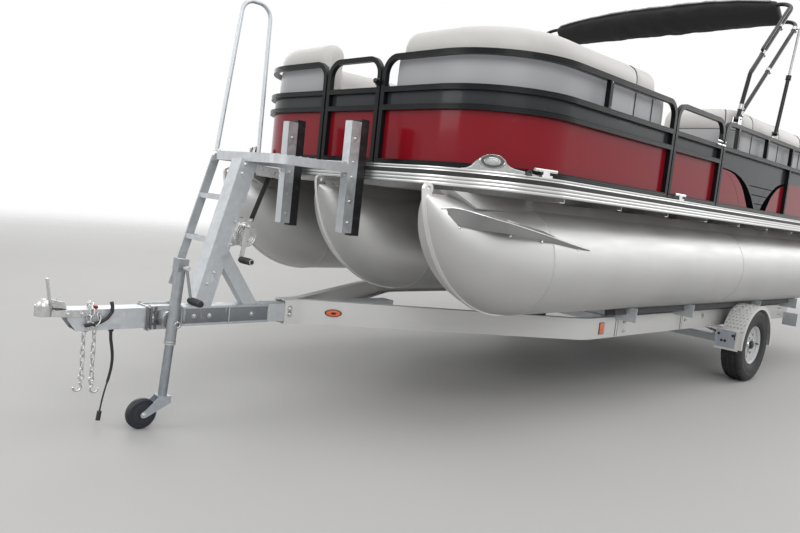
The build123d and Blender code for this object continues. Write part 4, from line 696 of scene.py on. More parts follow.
class STAGE_OT_pontoon(bpy.types.Operator):
    """Camera at the photograph's angle, pale floor and soft lights"""
    bl_idname = "pontoon.stage"
    bl_label = "Stage"

    CAMERA_PLACE = (5.5882, 3.4097, 1.2467)
    # to the right, down and ahead in the picture
    CAMERA_AXES = ((-0.71902, 0.68696, 0.10531), (-0.01113, 0.14013, -0.99007), (-0.69490, -0.71306, -0.09311))
    FLOOR_RINGS = (0, 4, 8, 14, 24, 60)
    FLOOR_FADE = (6.5, 17.0)
    ROOM_LIGHT = 0.44

    def execute(self, context):
        look = context.scene.pontoon.stage
        scene = context.scene
        scene.view_settings.view_transform = "Standard"
        data = bpy.data.cameras.new("camera")
        data.lens, data.sensor_width, data.clip_end = look.lens, 36.0, 200.0
        camera = bpy.data.objects.new("camera", data)
        scene.collection.objects.link(camera)
        right, down, ahead = (Vector(v) for v in self.CAMERA_AXES)
        turn = Matrix((right, -down, -ahead)).transposed().to_4x4()
        camera.matrix_world = Matrix.Translation(self.CAMERA_PLACE) @ turn
        scene.camera = camera
        self.floor(scene, look)
        self.world(scene)
        for name, place, aim, size, power in (
                ("front", (7.5, 8.5, 6.5), (1.2, 0.4, 1.0), 6.0, look.key),
                ("overhead", (0.5, 1.0, 8.5), (0.3, 0.0, 0.0), 9.0, look.key * 0.8),
                ("bow", (11.0, -3.0, 5.0), (2.0, 0.0, 1.0), 5.0, look.key * 0.55),
                ("stern", (-9.0, 4.0, 6.0), (-2.0, 0.0, 1.0), 6.0, look.key * 0.6),
                ("starboard", (0.0, -10.0, 6.0), (0.0, 0.0, 1.0), 6.0, look.key * 0.6)):
            lamp = bpy.data.lights.new(name, "AREA")
            lamp.shape, lamp.size, lamp.energy = "SQUARE", size, power
            made = bpy.data.objects.new(name, lamp)
            made.location = place
            made.rotation_euler = (Vector(aim) - Vector(place)).to_track_quat("-Z", "Y").to_euler()
            scene.collection.objects.link(made)
        return {"FINISHED"}

    def floor(self, scene, look):
        mould = Mould()
        mould.loft([[(r * cos(t), r * sin(t), 0) for t in turns(96)] for r in self.FLOOR_RINGS], caps=False)
        mesh = bpy.data.meshes.new("floor")
        mesh.from_pydata(mould.points, [], mould.faces)
        f = Finish("studio_floor")
        reach = (f.x * f.x + f.y * f.y) ** 0.5
        base = f.shades(f.noise(0.6, 4), look.floor, 0.03)
        mesh.materials.append(f.done(Base_Color=base, Roughness=0.6 + f.noise(3, 4) * 0.1,
                                     Alpha=1 - reach.between(*self.FLOOR_FADE)))
        made = bpy.data.objects.new("floor", mesh)
        scene.collection.objects.link(made)

    def world(self, scene):
        """White backdrop for the camera, metal and glass, and a dimmer room light on everything else."""
        scene.world = bpy.data.worlds.new("studio")
        sky = Nodes(scene.world)
        camera, glossy, through = (sky.node("LightPath", out=f"Is {kind} Ray")
                                   for kind in ("Camera", "Glossy", "Transmission"))
        seen = camera.most(glossy).most(through)
        strength = seen * (1 - self.ROOM_LIGHT) + self.ROOM_LIGHT
        light = sky.node("Background", None, {"Color": (1, 1, 1), "Strength": strength})
        sky.node("OutputWorld", None, {"Surface": light})


class LEAD_OT_pontoon(bpy.types.Operator):
    """Plug lead that hangs under the tongue"""
    bl_idname = "pontoon.plug_lead"
    bl_label = "Plug lead"

    def execute(self, context):
        sheath = rubber("lead_sheath", (0.016, 0.016, 0.017), 0.5)
        curve = bpy.data.curves.new("plug_lead", "CURVE")
        curve.dimensions = "3D"
        curve.bevel_depth, curve.bevel_resolution, curve.resolution_u = 0.004, 4, 10
        spline = curve.splines.new("NURBS")
        spline.points.add(len(LEAD_ROUTE) - 1)
        for point, place in zip(spline.points, LEAD_ROUTE):
            point.co = (*at(*place), 1.0)
        spline.order_u = 3
        spline.use_endpoint_u = True
        curve.use_fill_caps = True
        curve.materials.append(sheath)
        lead = bpy.data.objects.new("plug_lead", curve)
        context.scene.collection.objects.link(lead)
        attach(lead, "root")
        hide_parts("wiring_lead")
        dress(moulded("plug_body", (0.02, 0.02, 0.02), 0.45), "wiring_plug")
        tuple(at(*LEAD_ROUTE[0]))
        bare = curve.copy()
        bare.bevel_depth = 0.0
        follower = bpy.data.objects.new("follower", bare)
        points = [v.co.copy() for v in bpy.data.meshes.new_from_object(follower).vertices]
        bpy.data.objects.remove(follower)
        points = points[:round(len(points) * 0.68)]
        sizes = [0.0078 - 0.0012 * k / len(points) for k in range(len(points))]
        sizes[-3:] = [0.0062, 0.0054, 0.0045]
        # sleeve over the upper part of the lead, with a grommet where it leaves the tongue
        mould = Mould()
        mould.tube(points, sizes, 18)
        mould.turned(points[0], (0, 0, -1), [(0.013, -0.001), (0.013, 0.006), (0.009, 0.012)], 20)
        mould.piece("lead_sleeve", sheath, slot="lead_sheath")
        return {"FINISHED"}


class FLOATS_OT_pontoon(bpy.types.Operator):
    """Bare metal of the floats and beams, the floats' weld beads and the splash fins"""
    bl_idname = "pontoon.floats"
    bl_label = "Floats"

    def execute(self, context):
        look = context.scene.pontoon.hull
        weld = plated("weld_metal", (0.58, 0.58, 0.57), 0.42)
        for node, y, nose in (("pontoon_port", FLOAT_SIDE, 4000), ("pontoon_centre", 0, 3936),
                              ("pontoon_starboard", -FLOAT_SIDE, 4000)):
            dress(bare_aluminium(look, node + "_metal", y / 1000, nose / 1000 + AXLE_X), node)
            mould = Mould()
            # beads round the joint of nose and tube and at the tube's two later joints
            for back in FLOAT_JOINTS:
                path = [at(nose - back, y + BEAD_RADIUS * cos(radians(a)),
                        FLOAT_HEIGHT + BEAD_RADIUS * sin(radians(a))) for a in range(-268, 89, 4)]
                mould.tube([p + Vector((0.0009 * sin(k * 2.1), 0, 0)) for k, p in enumerate(path)], 0.0022, 6)
            mould.piece(node + "_welds", weld, slot="float_aluminium")
        # the fin is bare aluminium like the float; the sheet's dark grey colour is painted shade of the blade's
        # underside
        sheet = moulded("fin_sheet", (0.20, 0.20, 0.20), 0.6)
        for side, flip in SIDES:
            self.splash_fin(side, flip, sheet, plated(f"fin_edge_{side}", (0.72, 0.72, 0.71), 0.35))
        dress(plated("beam_metal", (0.60, 0.60, 0.59), 0.4), "deck_beams")
        return {"FINISHED"}

    # outer edge and lower edge of the port float's splash fin, from its front tip aft
    FIN_EDGE = ((3946, 1040, 1228), (3899, 1066, 1236), (3859, 1090, 1235), (3833, 1140, 1226), (3788, 1196, 1212),
            (3712, 1232, 1197), (3672, 1252, 1191), (3538, 1254, 1172), (3358, 1255, 1146), (3175, 1262, 1116),
            (3028, 1268, 1093), (2921, 1269, 1078))
    FIN_FOOT = ((3938, 1040, 1221), (3915, 1066, 1198), (3893, 1090, 1172), (3872, 1110, 1148), (3799, 1150, 1142),
            (3712, 1214, 1137), (3676, 1252, 1136), (3570, 1252, 1127), (3386, 1251, 1113), (3206, 1260, 1096),
            (3042, 1266, 1078), (2918, 1268, 1073))

    def splash_fin(self, side, flip, sheet, bright):
        """Folded blade that throws spray down: face painted dark grey as shade of its underside, bright folded edge
        and the tabs that weld it on.
        """
        mould = Mould()
        rings = []
        for k, (edge, foot) in enumerate(zip(self.FIN_EDGE, self.FIN_FOOT)):
            reach = 30 if k == 0 else 75
            crest = max(edge[2] + 2, 1088 + (edge[0] - 2830) * 0.1411) if 2 < k < 9 else edge[2] + 2
            rings.append([at(x, y * flip, z) for x, y, z in (
                foot, edge, (edge[0], edge[1] - 12, crest), (edge[0], edge[1] - reach, crest),
                (foot[0], foot[1] - reach, foot[2] + 2))])
        mould.loft(rings)
        mould.piece(f"splash_fin_{side}", sheet, slot="float_aluminium", sharp=50)
        lip = [at(x, (y - 1) * flip, z) for x, y, z in self.FIN_EDGE]
        mould.tube(spaced(lip, 0.03), 0.0032, 8)
        # tabs that weld the blade to the float
        for x, y, z in ((3868, 1106, 1145), (3622, 1234, 1128), (3370, 1251, 1110), (3034, 1266, 1076)):
            mould.turned(at(x, (y - 8) * flip, z - 2), (0, flip, 0), [(0.007, 0), (0.007, 0.008), (0.005, 0.010)], 16)
        mould.piece(f"fin_edge_{side}", bright, slot="float_aluminium")


class DECK_OT_pontoon(bpy.types.Operator):
    """Woven deck floor, its edge rail and the rail's insert"""
    bl_idname = "pontoon.deck"
    bl_label = "Deck"

    def execute(self, context):
        look = context.scene.pontoon.hull
        dress(woven_floor(look.floor), "deck")
        dress(extruded_aluminium(look), "rub_rail")
        dress(rubber("rail_rubber", (0.015, 0.015, 0.016), 0.5), "rub_rail_insert")
        return {"FINISHED"}


class FENCE_OT_pontoon(bpy.types.Operator):
    """Fence tubes, panels, gates, latches, hinges and the thin bands on the aft panels"""
    bl_idname = "pontoon.fence"
    bl_label = "Fence"

    def execute(self, context):
        look = context.scene.pontoon.fence
        tube = tube_paint(look.tube, [z / 1000 for z in (FOOT_RAIL, BAND_RAIL, MIDDLE_RAIL, TOP_RAIL)])
        dress(tube, "fence_frames", "bow_gate_frame", "port_gate_frame", "stern_gate_frame")
        self.open_frames(tube)
        red, charcoal = gloss_paint("red_panel", look.red), gloss_paint("charcoal_panel", look.charcoal, 0.22)
        dress(red, "lower_panels")
        dress(charcoal, "upper_panels")
        dress(two_tone(look, BAND_RAIL / 1000), "bow_gate_panel", "port_gate_panel", "stern_gate_panel")
        self.bands(look, red, charcoal)
        self.fittings()
        return {"FINISHED"}

    def open_frames(self, tube):
        """The frames with their short posts left out below the middle rail."""
        cuts = Mould()
        for x in (2870, 1000, 390, -790):
            for flip in (1, -1):
                # the bow section's posts are cut above and below its band rail
                rails = (FOOT_RAIL, BAND_RAIL, MIDDLE_RAIL) if x > 2000 else (FOOT_RAIL, MIDDLE_RAIL)
                for low, high in zip(rails, rails[1:]):
                    cuts.box(at(x - 16, 1212 * flip, low + POST_GAP), at(x + 16, 1250 * flip, high - POST_GAP))
        cutter = cuts.piece("post_cuts", tube)
        made = bpy.data.objects.new("open_fence_frames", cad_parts["fence_frames"].data.copy())
        bpy.context.scene.collection.objects.link(made)
        work = bmesh.new()
        work.from_mesh(made.data)
        bmesh.ops.remove_doubles(work, verts=work.verts, dist=1e-5)
        work.to_mesh(made.data)
        work.free()
        cut = made.modifiers.new("cut", "BOOLEAN")
        cut.operation, cut.solver, cut.object = "DIFFERENCE", "EXACT", cutter
        made.data = applied(made)
        made.modifiers.remove(cut)
        bpy.data.objects.remove(cutter)
        made.data.materials.clear()
        made.data.materials.append(tube)
        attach(made, "root")
        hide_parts("fence_frames")

    def bands(self, look, red, charcoal):
        """Curved black bands and thin lines that lie on the aft panels, and the panel colours up to them."""
        black = gloss_paint("band_black", (0.004, 0.004, 0.005), 0.6, 0.0, shine=0.0)
        # edges of the two curved bands in side view: forward of the gate post, and aft of it
        outer = ((1236, 1738), (1138, 1736), (1012, 1733), (897, 1721), (786, 1698), (695, 1666), (612, 1624),
                (537, 1574), (484, 1527), (431, 1476))
        inner = ((1236, 1731), (1136, 1728), (1010, 1724), (917, 1709), (830, 1678), (749, 1637), (684, 1587),
                (639, 1540), (603, 1505), (578, 1476))
        second_out = ((-300, 1745), (-229, 1742), (-78, 1719), (5, 1693), (80, 1654), (163, 1601), (230, 1551),
                (272, 1510), (298, 1476))
        second_in = ((-300, 1741), (-203, 1727), (-102, 1702), (-21, 1671), (40, 1633), (97, 1588), (135, 1536),
                (158, 1505), (176, 1476))
        # outer edges of the charcoal and red strips that carry the panels' colours up to the bands
        above = tuple((x, z + 34) for x, z in outer[:4])
        beside = tuple((x + 150, z) for x, z in inner[3:])
        ahead = tuple((x + 85, z + 22) for x, z in second_out)
        for side, flip in SIDES:
            mould = Mould()
            for near, far, face, finish in ((outer, inner, 1218.2, 0), (second_out, second_in, 1218.2, 0),
                                            (above, outer[:4], 1217.0, 2), (beside, inner[3:], 1217.0, 1),
                                            (ahead, second_out, 1217.0, 2)):
                mould.loft([[at(x0, 1216.4 * flip, z0), at(x1, 1216.4 * flip, z1), at(x1, face * flip, z1),
                             at(x0, face * flip, z0)] for (x0, z0), (x1, z1) in zip(near, far)], finish)
            half = look.band * 500
            for height, x0, x1 in ((1655, 85, 583), (1588, 180, 515), (1521, 262, 433)):
                mould.box(at(x0, 1216.4 * flip, height - half), at(x1, 1217.6 * flip, height + half))
            mould.piece(f"panel_bands_{side}", [black, red, charcoal], slot="fence_paint")

    def fittings(self):
        """Gate latches and hinge pins, rivets of the rails and feet on the deck."""
        chrome = plated("latch_chrome", (0.78, 0.78, 0.77), 0.16)
        black = moulded("latch_black", (0.012, 0.012, 0.012), 0.35)
        mould = Mould()
        knob = at(3738, 238, 1918)
        mould.turned(knob, (1, 0, 0), [(0.006, 0), (0.006, 0.012), (0.014, 0.018), (0.015, 0.028),
                (0.009, 0.034)], 24)
        mould.box(at(3737, 216, 1900), at(3743, 250, 1936))
        mould.piece("bow_latch_knob", black, "bow_gate", slot="fence_paint", bevel=0.001)
        # latch bands on the gate's end post and their keepers on the fixed post beside it
        for name, body, x0, x1 in (("port_latch", "port_gate", 1311, 1372), ("port_keeper", "root", 1236, 1301)):
            mould = Mould()
            for z in (1884, 1908):
                mould.box(at(x0, 1246.4, z - 6), at(x1, 1253, z + 6))
            mould.piece(name, chrome, body, slot="fence_paint", bevel=0.0015)
        for x, y in ((3705, -257), (2027, 1216), (-1730, -912)):
            for z in (FOOT_RAIL + 110, MIDDLE_RAIL - 30):
                for end in (-1, 1):
                    mould.turned(at(x, y, z + end * 36), (0, 0, end),
                            [(0.0062, -0.001), (0.0062, 0.004), (0.003, 0.007)], 18)
        mould.piece("hinge_pins", chrome, slot="fence_paint")
        rivet = [(0.0032, -0.001), (0.0030, 0.0012), (0.0015, 0.0020)]
        for x in (2870, 1000, 390, -200, -790, -1380):
            for z in (TOP_RAIL - 22, MIDDLE_RAIL + 22):
                for flip in (1, -1):
                    mould.turned(at(x, 1246 * flip, z), (0, flip, 0), rivet, 12)
        mould.piece("fence_rivets", chrome, slot="fence_paint")
        # feet that stand the fence on the deck
        for x in (3000, 2300, 1120, 700, 100, -500, -1100):
            for flip in (1, -1):
                mould.box(at(x - 26, 1180 * flip, 1425.3), at(x + 26, 1200 * flip, 1429))
                mould.bolt(at(x, 1190 * flip, 1429), (0, 0, 1), 0.0055)
        mould.bolts([at(3694, y, 1425.3) for y in (900, 500, -500, -900)], (0, 0, 1), 0.0055)
        mould.piece("fence_feet", chrome, slot="rail_aluminium")


class SEATS_OT_pontoon(bpy.types.Operator):
    """Lounge seats with crowned backs, their cushions and the captain's chair"""
    bl_idname = "pontoon.seats"
    bl_label = "Seats"

    # distance inward from the back's outer line, height, sewn down
    CROWN = ((2, 2046, 1), (-3, 2074, 0), (-4, 2106, 0), (0, 2138, 0), (10, 2168, 0), (30, 2194, 0), (58, 2210, 0),
             (90, 2213, 0), (120, 2203, 0), (142, 2180, 0), (153, 2146, 0), (153, 2110, 0), (146, 2080, 0),
             (136, 2060, 1), (148, 2040, 0), (157, 2006, 0), (160, 1966, 0), (158, 1930, 0), (150, 1902, 0),
             (136, 1893, 1), (96, 1890, 1), (50, 1890, 1), (24, 1900, 1), (22, 1950, 1), (22, 2000, 1), (16, 2036, 1))
    OUTER_SEAM, INNER_SEAM = 2046, 2060
    # distance inward, height
    PANEL = ((-1, 1796), (-4, 1840), (-6, 1900), (-6, 1950), (-4, 2010), (-1, 2050), (14, 2050), (14, 1796))

    def execute(self, context):
        self.look = context.scene.pontoon.seats
        self.light = vinyl("light_vinyl", self.look.light)
        self.grey = vinyl("grey_vinyl", self.look.grey)
        self.cord = vinyl("dark_piping", (0.03, 0.03, 0.032), 0.5)
        dress(moulded("seat_base", self.look.shell, 0.5), "lounge_bases")
        for side, flip in SIDES:
            corners = ((3674, 338), (3674, 1185), (2232, 1185))
            self.back(f"bow_back_{side}", corners, 469, (1822,), (300, 620, 850, 1120, 1480), flip,
                      f"bow_cushions_{side}", 98, (2040,))
            outline = rounded_line(((2240, 1028), (3517, 1028), (3517, 346)), 312)
            outline += [Vector(p) for p in ((3200, 346), (3064, 568), (2240, 568))]
            self.pad(f"bow_seat_{side}", outline, (((2730, 400), (2730, 1100)), ((3064, 568), (3560, 1080))), flip)
        corners = ((972, 604), (972, 1185), (-1699, 1185), (-1699, -216))
        self.back("aft_back", corners, 190, (500, 858, 1452, 2002, 2580, 3180, 3860),
                  (250, 680, 1155, 1727, 2290, 3520), 1, "stern_cushions")
        outline = rounded_line(((816, 608), (816, 1028), (-1542, 1028), (-1542, -214)), 60)
        outline += [Vector(p) for p in ((-1087, -214), (-1087, 608))]
        self.pad("aft_seat", outline, (((250, 500), (250, 1100)), ((-350, 500), (-350, 1100)),
                                       ((-1087, 608), (-1560, 1050)), ((-1600, 260), (-1000, 260))), 1)
        self.chair()
        return {"FINISHED"}

    def back(self, name, corners, radius, seams, channels, flip, node, past=0, lines=()):
        """Crowned bolster puffed between its sewn rows, with the grey panel on its outer face."""
        places = stations(rounded_line(corners, radius), seams + channels + lines, 30)
        total = places[-1][0]
        rings, panel, sewn, seam_rings, low_seams = [], [], [], [], []
        if past:
            end, inward = places[-1][1], places[-1][2]
            ahead = Vector((inward.y, -inward.x))
            places += [(total + past * k / 3, end + ahead * past * k / 3, inward) for k in (1, 2, 3)]
        for distance, point, inward in places:
            bulge = 0.1 if any(abs(distance - s) < 1 for s in (*seams, *lines, total)) else 1.0
            skin = [(a * bulge if a < 0 else a, z) for a, z in self.PANEL]
            panel.append([at(point.x + inward.x * a, (point.y + inward.y * a) * flip, z) for a, z in skin])
            if distance > total:
                continue
            edge = min(distance, total - distance)
            full = 1.0 if edge >= 80 else 0.62 + 0.38 * sqrt(1 - (1 - edge / 80) ** 2)
            at_seam = any(abs(distance - s) < 1 for s in seams)
            at_channel = any(abs(distance - s) < 1 for s in channels)
            ring = []
            for a, z, held in self.CROWN:
                crown, front = z > self.OUTER_SEAM, a > 100
                if past and abs(distance - 850) < 1 and z > self.INNER_SEAM:
                    tuck = 2.5
                elif at_seam and (crown or front):
                    tuck = 8
                elif at_channel and a > 130 and z < self.INNER_SEAM:
                    tuck = 11
                else:
                    tuck = 0
                middle = Vector((78, 2080 if crown else 1980))
                spot = middle + (Vector((a, z)) - middle) * (full if crown or front else 1.0)
                spot += (middle - spot).normalized() * tuck
                ring.append(at(point.x + inward.x * spot.x, (point.y + inward.y * spot.x) * flip, spot.y))
                sewn.append(1.0 if held or tuck or edge < 1 else 0.0)
            rings.append(ring)
            if at_seam:
                seam_rings.append([ring[i] for i in range(1, 20)])
            if bulge < 1 and distance < total:
                # cord down the panel's sewn line
                outer = Vector((-inward.x, -inward.y * flip, 0)) * 0.0035
                low_seams.append([at(point.x, point.y * flip, z) + outer for z in (1798, 1870, 1950, 2040)])
        mould = Mould()
        mould.loft(rings)
        made = mould.piece(name, self.light, slot="seat_vinyl", sharp=180)
        drape(made, sewn, 4.0, cap=0.012)
        rounder(made)
        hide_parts(node)
        mould.loft(panel)
        mould.piece(name + "_panel", self.grey, slot="seat_vinyl", sharp=50)
        for ring in seam_rings:
            middle = (ring[0] + ring[-1]) / 2
            mould.tube([p + (p - middle).normalized() * 0.004 for p in ring], self.look.piping / 2, 8)
        for line in low_seams:
            mould.tube(line, self.look.piping / 2, 8)
        # dark cord between the bolster and the panel: real piping, and also a painted shadow line under the bolster's
        # edge
        mould.tube([r[0] + (r[0] - r[20]).normalized() * 0.002 for r in rings], self.look.piping / 2, 8)
        mould.piece(name + "_piping", self.cord, slot="seat_vinyl")

    def pad(self, name, outline, seams, flip):
        """Seat cushion with tucked seams."""
        mould = Mould()
        mould.prism([at(p.x, p.y * flip, 1794) for p in outline], (0, 0, 0.082))
        made = mould.piece(name, self.light, slot="seat_vinyl", bevel=0.022)
        voxels = made.modifiers.new("voxels", "REMESH")
        voxels.mode, voxels.voxel_size = "VOXEL", 0.026
        mesh = applied(made)
        made.modifiers.remove(voxels)
        made.data = mesh
        sewn = []
        for vertex in mesh.vertices:
            place = Vector(((vertex.co.x - AXLE_X) * 1000, vertex.co.y * 1000 * flip))
            held = vertex.co.z < 1.815
            for start, end in seams:
                a, b = Vector(start), Vector(end)
                along = min(1, max(0, (place - a).dot(b - a) / (b - a).length_squared))
                if (place - a.lerp(b, along)).length < 14 and vertex.co.z > 1.85:
                    vertex.co.z -= 0.012
                    held = True
            sewn.append(1.0 if held else 0.0)
        drape(made, sewn, 3.0, cap=0.016)
        rounder(made)
        rim = [at(p.x, p.y * flip, 1872) for p in outline]
        mould.tube(spaced(rim + rim[:1], 0.05), self.look.piping / 2, 8)
        mould.piece(name + "_piping", self.grey, slot="seat_vinyl")

    def chair(self):
        """Captain's chair on its pedestal."""
        x, y, deck = 250, HELM_SIDE, DECK_TOP
        mould = Mould()
        rings, sewn = [], []
        # share of the back's height, half width, half depth, lean aft
        for share_up, width, thick, lean in ((0, 0.200, 0.040, 0), (0.03, 0.224, 0.056, 0), (0.1, 0.232, 0.062, -8),
                (0.25, 0.236, 0.060, -22), (0.38, 0.236, 0.052, -36), (0.40, 0.228, 0.044, -37),
                (0.42, 0.234, 0.052, -39), (0.56, 0.232, 0.056, -52), (0.7, 0.226, 0.054, -64),
                (0.72, 0.218, 0.046, -66), (0.74, 0.222, 0.058, -68), (0.86, 0.214, 0.068, -78),
                (0.95, 0.200, 0.060, -86), (1.0, 0.170, 0.034, -90)):
            centre = at(x - 165 + lean, y, deck + 450 + 490 * share_up)
            rings.append([centre + Vector((thick * squared(sin(t), 0.7), width * squared(cos(t), 0.35), 0))
                          for t in turns(28)])
            sewn += [1.0 if share_up in (0, 0.40, 0.72, 1.0) or sin(t) < -0.5 else 0.0 for t in turns(28)]
        mould.loft(rings)
        made = mould.piece("chair_back", self.light, slot="seat_vinyl", sharp=180)
        drape(made, sewn, 4.0, cap=0.012)
        rounder(made)
        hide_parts("captain_chair")
        rings, sewn = [], []
        # height above the deck, share of the full size, sewn down
        for height, size, held in ((372, 0.93, 1), (388, 0.985, 1), (412, 1.0, 0), (430, 0.985, 0), (440, 0.93, 0),
                                  (443, 0.86, 1), (446, 0.74, 0), (450, 0.45, 0), (450, 0.15, 0)):
            centre = at(x + 12, y, deck + height)
            half = 0.232 * size
            rings.append([centre + Vector((half * squared(cos(t), 0.4), half * squared(sin(t), 0.4), 0))
                          for t in turns(40)])
            sewn += [float(held)] * 40
        mould.loft(rings)
        made = mould.piece("chair_seat", self.light, slot="seat_vinyl", sharp=180)
        drape(made, sewn, 3.0, cap=0.014)
        rounder(made)
        under = ((-232, -232), (236, -225), (236, 225), (-232, 232))
        mould.prism([at(x + a, y + b, deck + 330) for a, b in under], (0, 0, 0.042))
        behind = ((-240, -226, 360), (-228, -226, 360), (-318, -205, 915), (-330, -205, 915))
        mould.prism([at(x + a, y + b, deck + c) for a, b, c in behind], (0, 0.44, 0))
        mould.piece("chair_shell", moulded("chair_shell", (0.05, 0.05, 0.052), 0.4), slot="seat_shell", bevel=0.006)
        for s in (-1, 1):
            arm = [at(x + a, y + s * b, deck + c) for a, b, c in ((-200, 268, 420), (-150, 276, 585), (-60, 278, 602),
                    (90, 278, 598), (160, 274, 540), (130, 262, 400))]
            mould.tube(spaced(arm, 0.03), 0.012, 12)
            mould.loft([[at(x + step, y + s * 278, deck + 612)
                    + Vector((0, 0.027 * grow * cos(t), 0.020 * grow * sin(t))) for t in turns(20)]
                    for step, grow in ((-168, 0.3), (-160, 0.8), (-130, 1), (60, 1), (96, 0.8), (104, 0.3))], 1)
        mould.piece("chair_arms", [plated("chair_chrome", (0.75, 0.75, 0.75), 0.15), self.grey],
                slot="rail_aluminium")
        foot = at(x, y, deck)
        mould.turned(foot, (0, 0, 1), [(0.168, 0.001), (0.170, 0.008), (0.160, 0.016), (0.09, 0.026), (0.052, 0.044),
                                       (0.040, 0.075), (0.036, 0.20), (0.0355, 0.26), (0.060, 0.275), (0.10, 0.29),
                                       (0.11, 0.33)], 36)
        mould.bolts([foot + Vector((0.14 * cos(t), 0.14 * sin(t), 0.016)) for t in turns(6)], (0, 0, 1), 0.006)
        mould.piece("chair_pedestal", plated("pedestal_metal", (0.66, 0.66, 0.66), 0.28), slot="rail_aluminium")


class HELM_OT_pontoon(bpy.types.Operator):
    """Helm console: dash, gauges, switches, throttle and wind screen"""
    bl_idname = "pontoon.helm"
    bl_label = "Helm"

    def execute(self, context):
        dress(moulded("console_shell", (0.62, 0.61, 0.59), 0.3, 0.0002), "helm_console")
        dress(moulded("wheel_grip", (0.02, 0.02, 0.02), 0.5), "steering_wheel")
        chrome = plated("bezel_chrome", (0.78, 0.78, 0.78), 0.12)
        dark = moulded("dash_black", (0.018, 0.018, 0.02), 0.35)
        self.dash(chrome, dark)
        self.throttle(chrome, dark)
        self.screen()
        mould = Mould()
        hub = at(960, HELM_SIDE, 2060)
        axis = Vector((-cos(radians(28)), 0, sin(radians(28))))
        mould.turned(hub + axis * 0.022, axis, [(0.040, 0), (0.040, 0.004), (0.030, 0.010), (0.012, 0.013)], 32)
        mould.piece("wheel_cap", chrome, "helm", slot="helm_grip")
        return {"FINISHED"}

    def dash(self, chrome, dark):
        """Panel that slopes from its low aft edge to its high front edge, with its gauges and switches."""
        dial = moulded("dial_face", (0.50, 0.50, 0.48), 0.3, 0.0001)
        low, high = at(1010, HELM_SIDE, 1960), at(1220, HELM_SIDE, 2290)
        up = (high - low).normalized()
        out = Vector((-up.z, 0, up.x))
        across = Vector((0, 1, 0))

        def spot(side, rise, lift=0.0):
            return low + across * side + up * rise + out * lift

        def ray(bearing):
            return across * -cos(radians(bearing)) + up * sin(radians(bearing))

        def plate(sides, rises, lift, depth):
            """Raised rectangle on the panel."""
            corners = ((0, 0), (1, 0), (1, 1), (0, 1))
            mould.prism([spot(sides[a], rises[b], lift) for a, b in corners], depth)

        mould = Mould()
        plate((-0.43, 0.20), (0.03, 0.36), 0.0, out * 0.004)
        mould.piece("dash_panel", dark, slot="console_shell", bevel=0.0015)
        for side, rise, size in ((-0.33, 0.285, 0.043), (-0.21, 0.30, 0.043), (0.04, 0.30, 0.034),
                (0.13, 0.285, 0.034)):
            mould.turned(spot(side, rise, 0.004), out, [(size, 0), (size, 0.006), (size * 0.92, 0.010),
                    (size * 0.88, 0.007), (size * 0.88, 0.004)], 40)
            mould.turned(spot(side, rise, 0.0045), out, [(size * 0.88, 0), (size * 0.88, 0.001)], 40, 1)
            for k in range(11):
                heading = ray(225 - 27 * k) * size
                point = spot(side, rise, 0.0058) + heading * 0.74
                mould.tube([point, point + heading * 0.11], 0.0007, 6, 2)
            centre = spot(side, rise, 0.0062)
            mould.tube([centre, centre + ray(200) * size * 0.66], [0.0012, 0.0004], 6, 3)
            mould.turned(centre, out, [(0.004, -0.001), (0.003, 0.002)], 14, 2)
        mould.piece("dash_gauges", [chrome, dial, dark, moulded("needle", (0.5, 0.03, 0.02), 0.4)],
                slot="console_shell")
        for k in range(6):
            side = -0.36 + 0.045 * k
            plate((side - 0.013, side + 0.013), (0.06, 0.10), 0.004, out * 0.004)
            plate((side - 0.010, side + 0.010), (0.064, 0.096), 0.008, out * 0.005 + up * 0.002)
        plate((0.00, 0.17), (0.10, 0.21), 0.004, out * 0.012)
        mould.piece("dash_switches", dark, slot="console_shell", bevel=0.0012)

    def throttle(self, chrome, dark):
        """Lever on the console's inboard side, with its cross grip."""
        mould = Mould()
        base = at(1120, -372, 1985)
        mould.turned(base, (0, 1, 0), [(0.055, 0), (0.055, 0.012), (0.046, 0.024), (0.03, 0.030)], 32)
        lever = [base + Vector(step) for step in ((0, 0.028, 0), (-0.02, 0.050, 0.05), (-0.045, 0.055, 0.16))]
        mould.tube(spaced(lever, 0.02), 0.007, 10, 1)
        mould.turned(lever[-1], (0, 1, 0), [(0.006, -0.045), (0.015, -0.04), (0.017, 0), (0.015, 0.04),
                (0.006, 0.045)], 20)
        mould.piece("throttle", [dark, chrome], slot="console_shell")

    def screen(self):
        """Smoked screen, bent round the console's front edge."""
        screen = Finish("smoked_screen")
        haze = screen.noise(6, 3)
        tint = screen.done(Base_Color=screen.shades(haze, (0.03, 0.032, 0.035), 0.2), Roughness=0.06 + haze * 0.05,
                           Alpha=0.55 + haze * 0.05)
        mould = Mould()
        rings = []
        for k in range(17):
            t = radians(-80 + 10 * k)
            foot = at(1385, -768, 2286) + Vector((0.155 * cos(t) - 0.10, 0.33 * sin(t), 0))
            head = foot + Vector((-0.055, -0.02 * sin(t), 0.17 * (0.55 + 0.45 * cos(t * 0.9))))
            thick = Vector((0.004 * cos(t), 0.004 * sin(t), 0))
            rings.append([foot, head, head - thick, foot - thick])
        mould.loft(rings)
        mould.piece("wind_screen", tint, slot="console_shell")


